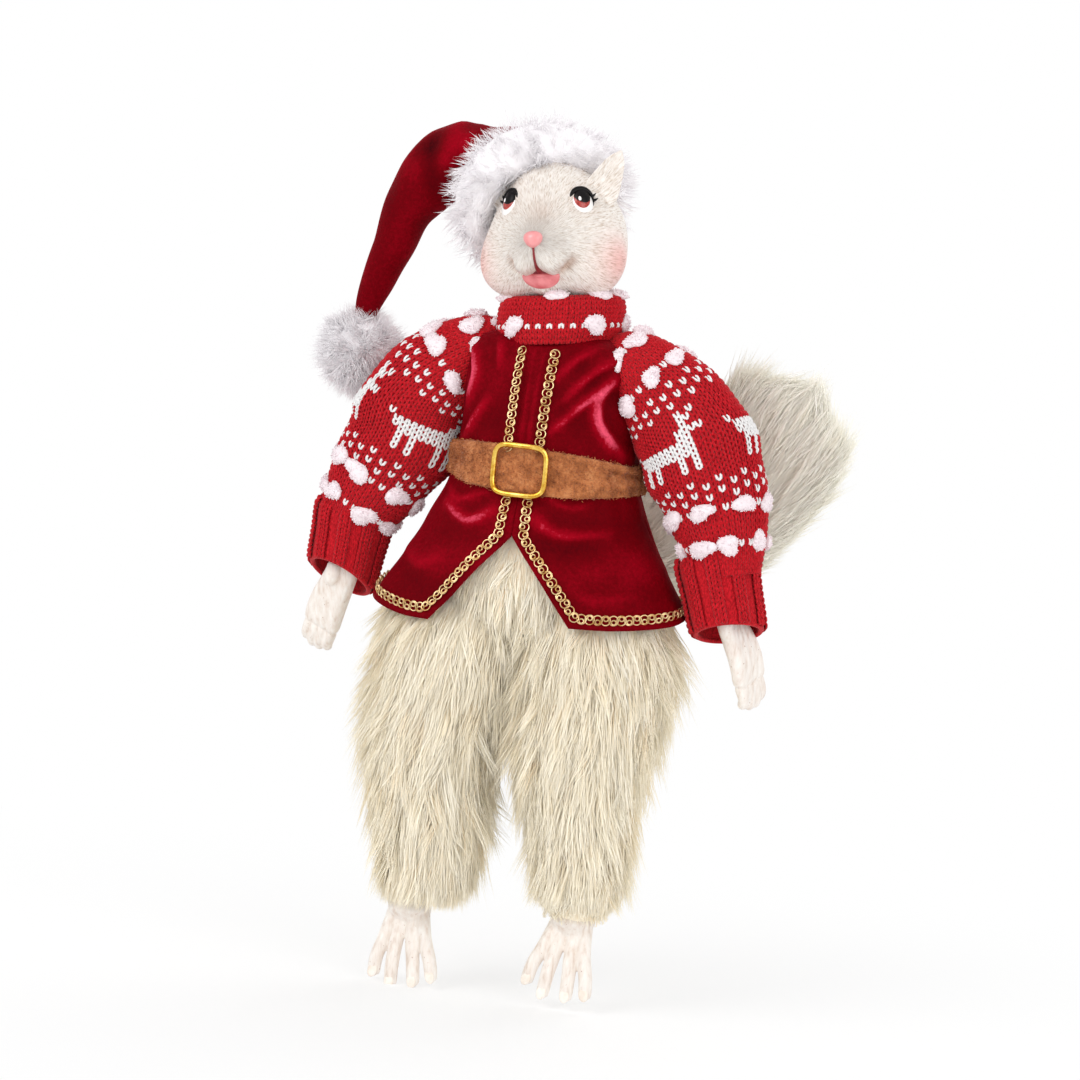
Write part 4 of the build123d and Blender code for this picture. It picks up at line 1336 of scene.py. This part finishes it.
def comb_head(piece):
    """Values on the head for its carved lines, blush and painted shade in dents, from each point's place on
    the face.
    """
    count = len(piece.data.vertices)
    points = np.empty(count * 3)
    piece.data.vertices.foreach_get("co", points)
    local = (points.reshape(-1, 3) / MM - HEAD_ROOT) @ np.stack([HEAD_SIDE, HEAD_BACK, HEAD_UP], axis=1)
    from_nose = local - NOSE_TIP
    angle = np.arctan2(from_nose[:, 0], from_nose[:, 2])
    distance = np.linalg.norm(from_nose, axis=1)
    comb = np.stack([54 * np.cos(angle), 54 * np.sin(angle), distance / 3.0], axis=-1)
    ways = unit(local - HEAD_HEART)
    blush = sum(near_way(ways, mirrored(CHEEK, sign), 0.30) for sign in SIDES.values())
    # Painted shade: darker where the face dips in, at the eyes, the mouth and the creases
    painted_dent_shade = sum(-amount * near_way(ways, way, spread * 0.9) for way, amount, spread in BUMPS if amount < 0)
    set_values(piece.data, "comb", comb)
    set_values(piece.data, "blush", 0.7 * blush)
    set_values(piece.data, "painted_dent_shade", np.clip(0.16 * painted_dent_shade, 0, 0.6))


def make_head():
    bpy.ops.mesh.primitive_ico_sphere_add(subdivisions=7, radius=1.0)
    ball = bpy.context.object
    ways = np.empty(len(ball.data.vertices) * 3)
    ball.data.vertices.foreach_get("co", ways)
    corners = np.empty(len(ball.data.polygons) * 3, np.int32)
    ball.data.polygons.foreach_get("vertices", corners)
    bpy.data.objects.remove(ball)
    points = on_face(unit(ways.reshape(-1, 3)))
    points[:, 2] = np.maximum(points[:, 2], HEAD_BOTTOM)
    head = Geometry()
    head.add(in_head(points), tris=corners.reshape(-1, 3))
    for sign in SIDES.values():
        add_eye(head, sign)
        add_ear(head, sign)
    add_mouth(head)
    nose, faces = lump(NOSE_TIP, np.eye(3), NOSE_HALF, 32, 17)
    nose[:, 0] *= 1 + (nose[:, 2] - NOSE_TIP[2]) * 0.05
    head.add(in_head(nose), faces, slot=NOSE_PINK)
    pink = plain_material("nose_pink", srgb(240, 158, 158), srgb(228, 134, 136), 0.3, coat=0.4)
    dark = plain_material("mouth_red", srgb(150, 40, 46), srgb(110, 20, 26), 0.4)
    tongue = plain_material("tongue_pink", srgb(232, 136, 138), srgb(208, 98, 104), 0.35, coat=0.3)
    white = plain_material("eye_white", srgb(250, 248, 246), srgb(240, 236, 232), 0.2, coat=0.6)
    iris = plain_material("iris_red", srgb(190, 52, 38), srgb(128, 20, 16), 0.25, 900.0, coat=0.3)
    black = plain_material("eye_black", srgb(14, 10, 12), srgb(6, 5, 6), 0.3, shine=0.15)
    piece = head.build("cast_head", painted_resin(), pink, dark, tongue, white, iris, black)
    comb_head(piece)
    place(piece, "head", "cast_resin", "head")


make_head()

# Hat: velvet from the brim over the fold to the tip
HAT_LINE = path_through([BRIM_CENTER - BRIM_AXIS * 4, BRIM_CENTER + BRIM_AXIS * 14, (-50, 24, 152),
                         (-76, 20, 153), (-95, 18, 131), (-106, 22, 105), (-117, 27, 80), (-121, 29, 66)])
HAT_SHARES = (0, 0.1, 0.22, 0.36, 0.48, 0.62, 0.8, 0.95, 1)
HAT_RADII = (27, 27, 25, 22, 18, 13.5, 10, 7, 5)


def hat_place(u, v):
    """Place on the hat: u goes round it and v from the brim to the tip."""
    start = np.clip(1 - v / 0.12, 0, 1)[:, None]
    ahead = unit(heading(HAT_LINE, v, 0.012) * (1 - start) + BRIM_AXIS * start)
    first = unit(np.cross(ahead, BACK + UP * 0.2))
    second = np.cross(ahead, first)
    return HAT_LINE(v) + way_round(first, second, u * 2 * np.pi) * ease(HAT_SHARES, HAT_RADII, v)[:, None]


def make_hat():
    rows, columns = 110, 96
    v, u = np.meshgrid(np.linspace(0, 1, rows), np.arange(columns) / columns, indexing="ij")
    u, v = u.ravel(), v.ravel()
    places = hat_place(u, v)
    near_fold = np.exp(-((v - 0.40) / 0.12) ** 2)
    wrinkle = ripple(places * np.array([1, 1, 0.6]), 13, 6) * (0.8 + 2.4 * near_fold)
    places = places + unit(places - HAT_LINE(v)) * wrinkle[:, None]
    hat = Geometry()
    # Fold heights set the painted highlights on ridges and painted shade in hollows
    cloth_sheet(hat, places, rows, columns, thickness=1.4, closed=True, tone=painted_fold_light(wrinkle * 1.2))
    piece = hat.build("velvet_hat", VELVET)
    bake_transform(piece)
    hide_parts("hat_crown", "hat_tip")


make_hat()

# Body: plush hips under the vest
BODY_HEIGHTS = (-89, -82, -60, -30, 0, 40, 55)
BODY_HALF_WIDTHS = (12, 40, 56, 48, 43, 34, 20)
BODY_HALF_DEPTHS = (10, 30, 43, 40, 36, 30, 18)
BODY_TUFTS = 900


def body_surface(u, v):
    angle = u * 2 * np.pi
    z = BODY_HEIGHTS[-1] - (BODY_HEIGHTS[-1] - BODY_HEIGHTS[0]) * v
    half_width, half_depth = (ease(BODY_HEIGHTS, half, z) for half in (BODY_HALF_WIDTHS, BODY_HALF_DEPTHS))
    return np.stack([np.cos(angle) * half_width, np.sin(angle) * half_depth, z], axis=-1)


def make_body():
    rng = np.random.default_rng(71)
    body = Geometry()
    skin(body, body_surface, 60, 40, tone=0.3)
    u, v = rng.uniform(0, 1, BODY_TUFTS), rng.uniform(0.66, 0.99, BODY_TUFTS)
    places, outs, _, alongs = surface_frame(body_surface, u, v)
    flows = unit(alongs - UP * 0.8)
    fur(body, rng, places, outs, flows, 5, 9, ease([0.66, 0.85, 1], [15, 20, 26], v), 0.12, 0.6, spread=3.4)
    piece = body.build("plush_body", CREAM_FUR)
    place(piece, "torso", "cream_plush", "body_core")


make_body()

# Hands and feet: cast paws with fingers, toes and nails


def melt(piece, voxel, rounds):
    """Overlapping forms become one smooth casting."""
    remesh = piece.modifiers.new("melt", "REMESH")
    remesh.mode = "VOXEL"
    remesh.voxel_size = voxel
    remesh.use_smooth_shade = True
    smooth = piece.modifiers.new("smooth", "SMOOTH")
    smooth.factor = 0.5
    smooth.iterations = rounds
    evaluated = piece.evaluated_get(bpy.context.evaluated_depsgraph_get())
    mesh = bpy.data.meshes.new_from_object(evaluated)
    materials = list(piece.data.materials)
    piece.modifiers.clear()
    piece.data = mesh
    mesh.materials.clear()
    for material in materials:
        mesh.materials.append(material)
    return piece


def digit(geometry, points, radii, sides=14):
    """Finger or toe with round ends, along a round path through points."""
    path = path_through(points)
    share = np.linspace(0, 1, 22)
    radius = ease(np.linspace(0, 1, len(radii)), radii, share)
    cap = np.sqrt(np.clip(1 - (np.clip(share * path.length / radii[0], 0, 1) - 1) ** 2, 0.02, 1))
    far = np.sqrt(np.clip(1 - (np.clip((1 - share) * path.length / radii[-1], 0, 1) - 1) ** 2, 0.02, 1))
    tube(geometry, path(share), radius * np.minimum(cap, far), sides)


def join(first, *others):
    """Pieces of one casting become one mesh."""
    with bpy.context.temp_override(active_object=first, selected_editable_objects=[first, *others]):
        bpy.ops.object.join()
    return first


def nail(geometry, tip, ahead, out, across, width):
    """Small flat oval on the back of a finger or toe."""
    points, faces = lump(tip, np.stack([across, ahead, out]), (width, width * 1.35, 0.9), 18, 11)
    geometry.add(points, faces)


def paw_resin():
    """Pale cast resin with fine lines and small dark pits."""
    material, tree, shader = new_material("paw_resin", Roughness=0.55)
    lines = noise_of(tree, 420.0, 3.0, (1, 1, 0.22))
    pits = noise_of(tree, 700.0, 2.0)
    color = color_ramp(tree, lines, [(0.25, srgb(218, 200, 186)), (0.45, srgb(238, 228, 219)),
                                     (0.7, srgb(248, 243, 237))])
    spots = color_ramp(tree, pits, [(0.25, srgb(176, 132, 108)), (0.30, (1, 1, 1, 1))])
    mix = add_node(tree, "ShaderNodeMix", {"A": color, "B": spots}, data_type="RGBA", blend_type="MULTIPLY",
                   Factor=0.8)
    paint(shader, mix.outputs["Result"])
    bump(tree, shader, lines, 0.35, 0.0010)
    return material


PAW = paw_resin()
NAIL = plain_material("nail_resin", srgb(252, 246, 238), srgb(240, 226, 212), 0.35)
FOOT_SHIFT = {"left": np.array([-4.0, -9.0, 5.0]), "right": np.array([-5.0, -9.0, -1.0])}
TOE_SPREADS = (-17.0, -6.8, 6.2, 16.5)
TOE_LENGTHS = (36.0, 41.5, 40.5, 37.5)


def make_foot(side):
    """Hanging foot with four toes, which fan out from the ankle."""
    sign = SIDES[side]
    ankle = PLACES[f"ankle_bend_{side}"] + FOOT_SHIFT[side]
    ahead = unit(np.array([-sign * 0.08, -0.26, -1.0]))
    across = unit(np.cross(ahead, BACK))
    out = unit(np.cross(across, ahead))
    out = out if out @ FRONT > 0 else -out
    foot, nails = Geometry(), Geometry()
    digit(foot, [ankle + UP * 12, ankle, ankle + ahead * 8], [10, 12, 11])
    for spread, length in zip(TOE_SPREADS, TOE_LENGTHS):
        root = ankle - ahead * 4.0 + across * spread * 0.38
        knuckle = ankle + ahead * 14 + across * spread * 0.66 + out * 2.6
        middle = ankle + ahead * (length * 0.70) + across * spread * 0.90 + out * 1.8
        tip = ankle + ahead * length + across * spread - out * 0.4
        digit(foot, [root, knuckle, middle, tip], [5.0, 4.2, 3.9, 3.7, 3.5])
        way = unit(tip - middle)
        nail(nails, tip - way * 3.0 + out * 3.0, way, unit(out - way * (out @ way)), across, 2.7)
    piece = melt(foot.build(f"cast_foot_{side}", PAW), 0.55 * MM, 6)
    piece = join(piece, nails.build(f"foot_nails_{side}", NAIL))
    place(piece, f"foot_{side}", "cast_resin", f"foot_{side}")


HAND_TURN = {"left": 62.0, "right": 8.0}
HAND_LINE = {"left": [(103.5, 0, -56), (109.0, 1, -70), (116.5, 5, -87), (119.0, 10, -101)],
             "right": [(103.5, -3, -54), (108.5, -3, -70), (116.5, 2, -87), (121.5, 7, -101)]}
FINGER_OFFSETS = (-6.6, -2.2, 2.2, 6.6)
FINGER_LENGTHS = (11.5, 14.0, 14.5, 12.0)
PALM_NARROWING = np.array([0.55, 0.62, 0.95, 1.0])[:, None]


def make_hand(side):
    """Hanging hand: four fingers that curl towards the palm, and a thumb."""
    sign = SIDES[side]
    mirror = np.array([sign, 1.0, 1.0])
    turn = math.radians(HAND_TURN[side])
    line = np.array(HAND_LINE[side]) * mirror
    ahead = unit(line[-1] - line[1])
    across = np.array([math.cos(turn) * sign, math.sin(turn), 0.0])
    across = unit(across - ahead * (across @ ahead))
    palm = unit(np.cross(ahead, across))
    palm = palm if palm @ np.array([-sign, 0.3, 0]) > 0 else -palm
    hand, nails = Geometry(), Geometry()
    for offset, length in zip(FINGER_OFFSETS, FINGER_LENGTHS):
        bone = line + across * offset * PALM_NARROWING
        digit(hand, bone, [5.6, 5.2, 4.7, 4.2])
        first = bone[-1] + ahead * length * 0.55 + palm * 0.6
        tip = bone[-1] + ahead * length * 0.95 + palm * 4.6
        digit(hand, [bone[-1] - ahead * 3, first, tip], [3.7, 3.3, 2.6])
        way = unit(tip - first)
        nail(nails, tip - way * 1.2 - palm * 1.9, way, -palm, across, 1.5)
    thumb = line[1] - across * sign * 3.0 + FRONT * 5.0
    digit(hand, [thumb + UP * 7, thumb, thumb + ahead * 8], [3.8, 4.3, 3.4])
    piece = melt(hand.build(f"cast_hand_{side}", PAW), 0.5 * MM, 5)
    piece = join(piece, nails.build(f"hand_nails_{side}", NAIL))
    place(piece, f"hand_{side}", "cast_resin", f"hand_{side}")


for side in SIDES:
    make_foot(side)
    make_hand(side)

# Wires and the neck cord keep their own shapes inside the soft parts
WIRE = metal_material("annealed_wire", srgb(96, 94, 92), srgb(150, 148, 146), 0.45)
COTTON = yarn_material("cotton_cord", srgb(206, 198, 184), srgb(238, 232, 220))


def finish_inner_nodes():
    for name, node in frame["nodes"].items():
        if not node.hide_render:
            for holder in node.material_slots:
                holder.material = WIRE if "wire" in name else COTTON


finish_inner_nodes()

# Stage, light and camera


def seen_ray(tree):
    """1 where the camera, a gloss or glass sees the backdrop, so that it shows there as plain white."""
    path = add_node(tree, "ShaderNodeLightPath").outputs
    seen = path["Is Camera Ray"]
    for ray in ("Is Glossy Ray", "Is Transmission Ray"):
        seen = add_node(tree, "ShaderNodeMath", {0: seen, 1: path[ray]}, operation="MAXIMUM").outputs[0]
    return seen


SHADOW_REACH = 0.55
SHADOW_LIGHT = 0.55
FLOOR_SIZE = 12.0
FLOOR_GAP = 0.003
WORLD_LIGHT = 0.7
PURE_WHITE = (1, 1, 1, 1)


def make_floor():
    """Floor that keeps the doll's shadow near it and fades into the white backdrop."""
    lowest = cad_box[0][2]
    bpy.ops.mesh.primitive_plane_add(size=FLOOR_SIZE, location=(0, 0, lowest - FLOOR_GAP))
    floor = bpy.context.object
    floor.name = "floor"
    material, tree, shader = new_material("pale_floor", Roughness=0.9, Base_Color=(0.94, 0.94, 0.94, 1))
    white = add_node(tree, "ShaderNodeEmission", Color=PURE_WHITE, Strength=1.0)
    coordinates = add_node(tree, "ShaderNodeTexCoord").outputs["Object"]
    distance = add_node(tree, "ShaderNodeVectorMath", {0: coordinates}, operation="LENGTH").outputs["Value"]
    fade = add_node(tree, "ShaderNodeMapRange", {"Value": distance}, interpolation_type="SMOOTHSTEP")
    for socket, value in (("From Max", SHADOW_REACH), ("To Min", SHADOW_LIGHT), ("To Max", 1.0)):
        fade.inputs[socket].default_value = value
    seen = add_node(tree, "ShaderNodeMath", {0: seen_ray(tree), 1: fade.outputs[0]}, operation="MULTIPLY")
    mix = add_node(tree, "ShaderNodeMixShader",
                   {0: seen.outputs[0], 1: shader.outputs[0], 2: white.outputs[0]})
    tree.links.new(mix.outputs[0], tree.nodes["Material Output"].inputs["Surface"])
    floor.data.materials.append(material)


def make_backdrop():
    """Even white light from all round, which the camera sees as plain white."""
    world = bpy.context.scene.world or bpy.data.worlds.new("studio")
    bpy.context.scene.world = world
    world.use_nodes = True
    tree = world.node_tree
    tree.nodes.clear()
    light = add_node(tree, "ShaderNodeBackground", Color=PURE_WHITE, Strength=WORLD_LIGHT)
    white = add_node(tree, "ShaderNodeBackground", Color=PURE_WHITE, Strength=1.0)
    mix = add_node(tree, "ShaderNodeMixShader",
                   {0: seen_ray(tree), 1: light.outputs[0], 2: white.outputs[0]})
    output = add_node(tree, "ShaderNodeOutputWorld")
    tree.links.new(mix.outputs[0], output.inputs["Surface"])


def make_lamp(name, place_at, power, size):
    """Soft square lamp that points at the doll's waist."""
    lamp = bpy.data.lights.new(name, "AREA")
    lamp.energy = power
    lamp.size = size
    holder = bpy.data.objects.new(name, lamp)
    holder.location = place_at
    holder.rotation_euler = (Vector((0, 0, 0)) - Vector(place_at)).to_track_quat("-Z", "Y").to_euler()
    bpy.context.scene.collection.objects.link(holder)


def make_camera():
    """Camera of the photograph, which puts the waist on its pixel at the photograph's scale."""
    azimuth, elevation, roll = (math.radians(value) for value in (VIEW_AZIMUTH, VIEW_ELEVATION, VIEW_ROLL))
    away = np.array([math.sin(azimuth) * math.cos(elevation), -math.cos(azimuth) * math.cos(elevation),
                     math.sin(elevation)])
    right = unit(np.cross(-away, UP))
    top = np.cross(right, -away)
    right, top = (right * math.cos(roll) + top * math.sin(roll),
                  top * math.cos(roll) - right * math.sin(roll))
    middle = IMAGE_PIXELS / 2
    target = -right * (WAIST_PIXEL[0] - middle) * PIXEL - top * (middle - WAIST_PIXEL[1]) * PIXEL
    camera = bpy.data.cameras.new("camera")
    camera.sensor_width = SENSOR_WIDTH
    camera.lens = SENSOR_WIDTH * VIEW_DISTANCE / (IMAGE_PIXELS * PIXEL)
    holder = bpy.data.objects.new("camera", camera)
    turned = Matrix(np.stack([right, top, away], axis=1).tolist()).to_4x4()
    holder.matrix_world = Matrix.Translation(Vector((target + away * VIEW_DISTANCE) * MM)) @ turned
    bpy.context.scene.collection.objects.link(holder)
    bpy.context.scene.camera = holder


make_floor()
make_backdrop()
make_lamp("key", (-1.1, -1.9, 1.5), 24.0, 1.4)
make_lamp("fill", (1.8, -1.6, 0.7), 16.5, 1.6)
make_lamp("rim", (0.6, 1.8, 1.6), 14.0, 1.4)
make_camera()
bpy.context.scene.view_settings.view_transform = "Standard"
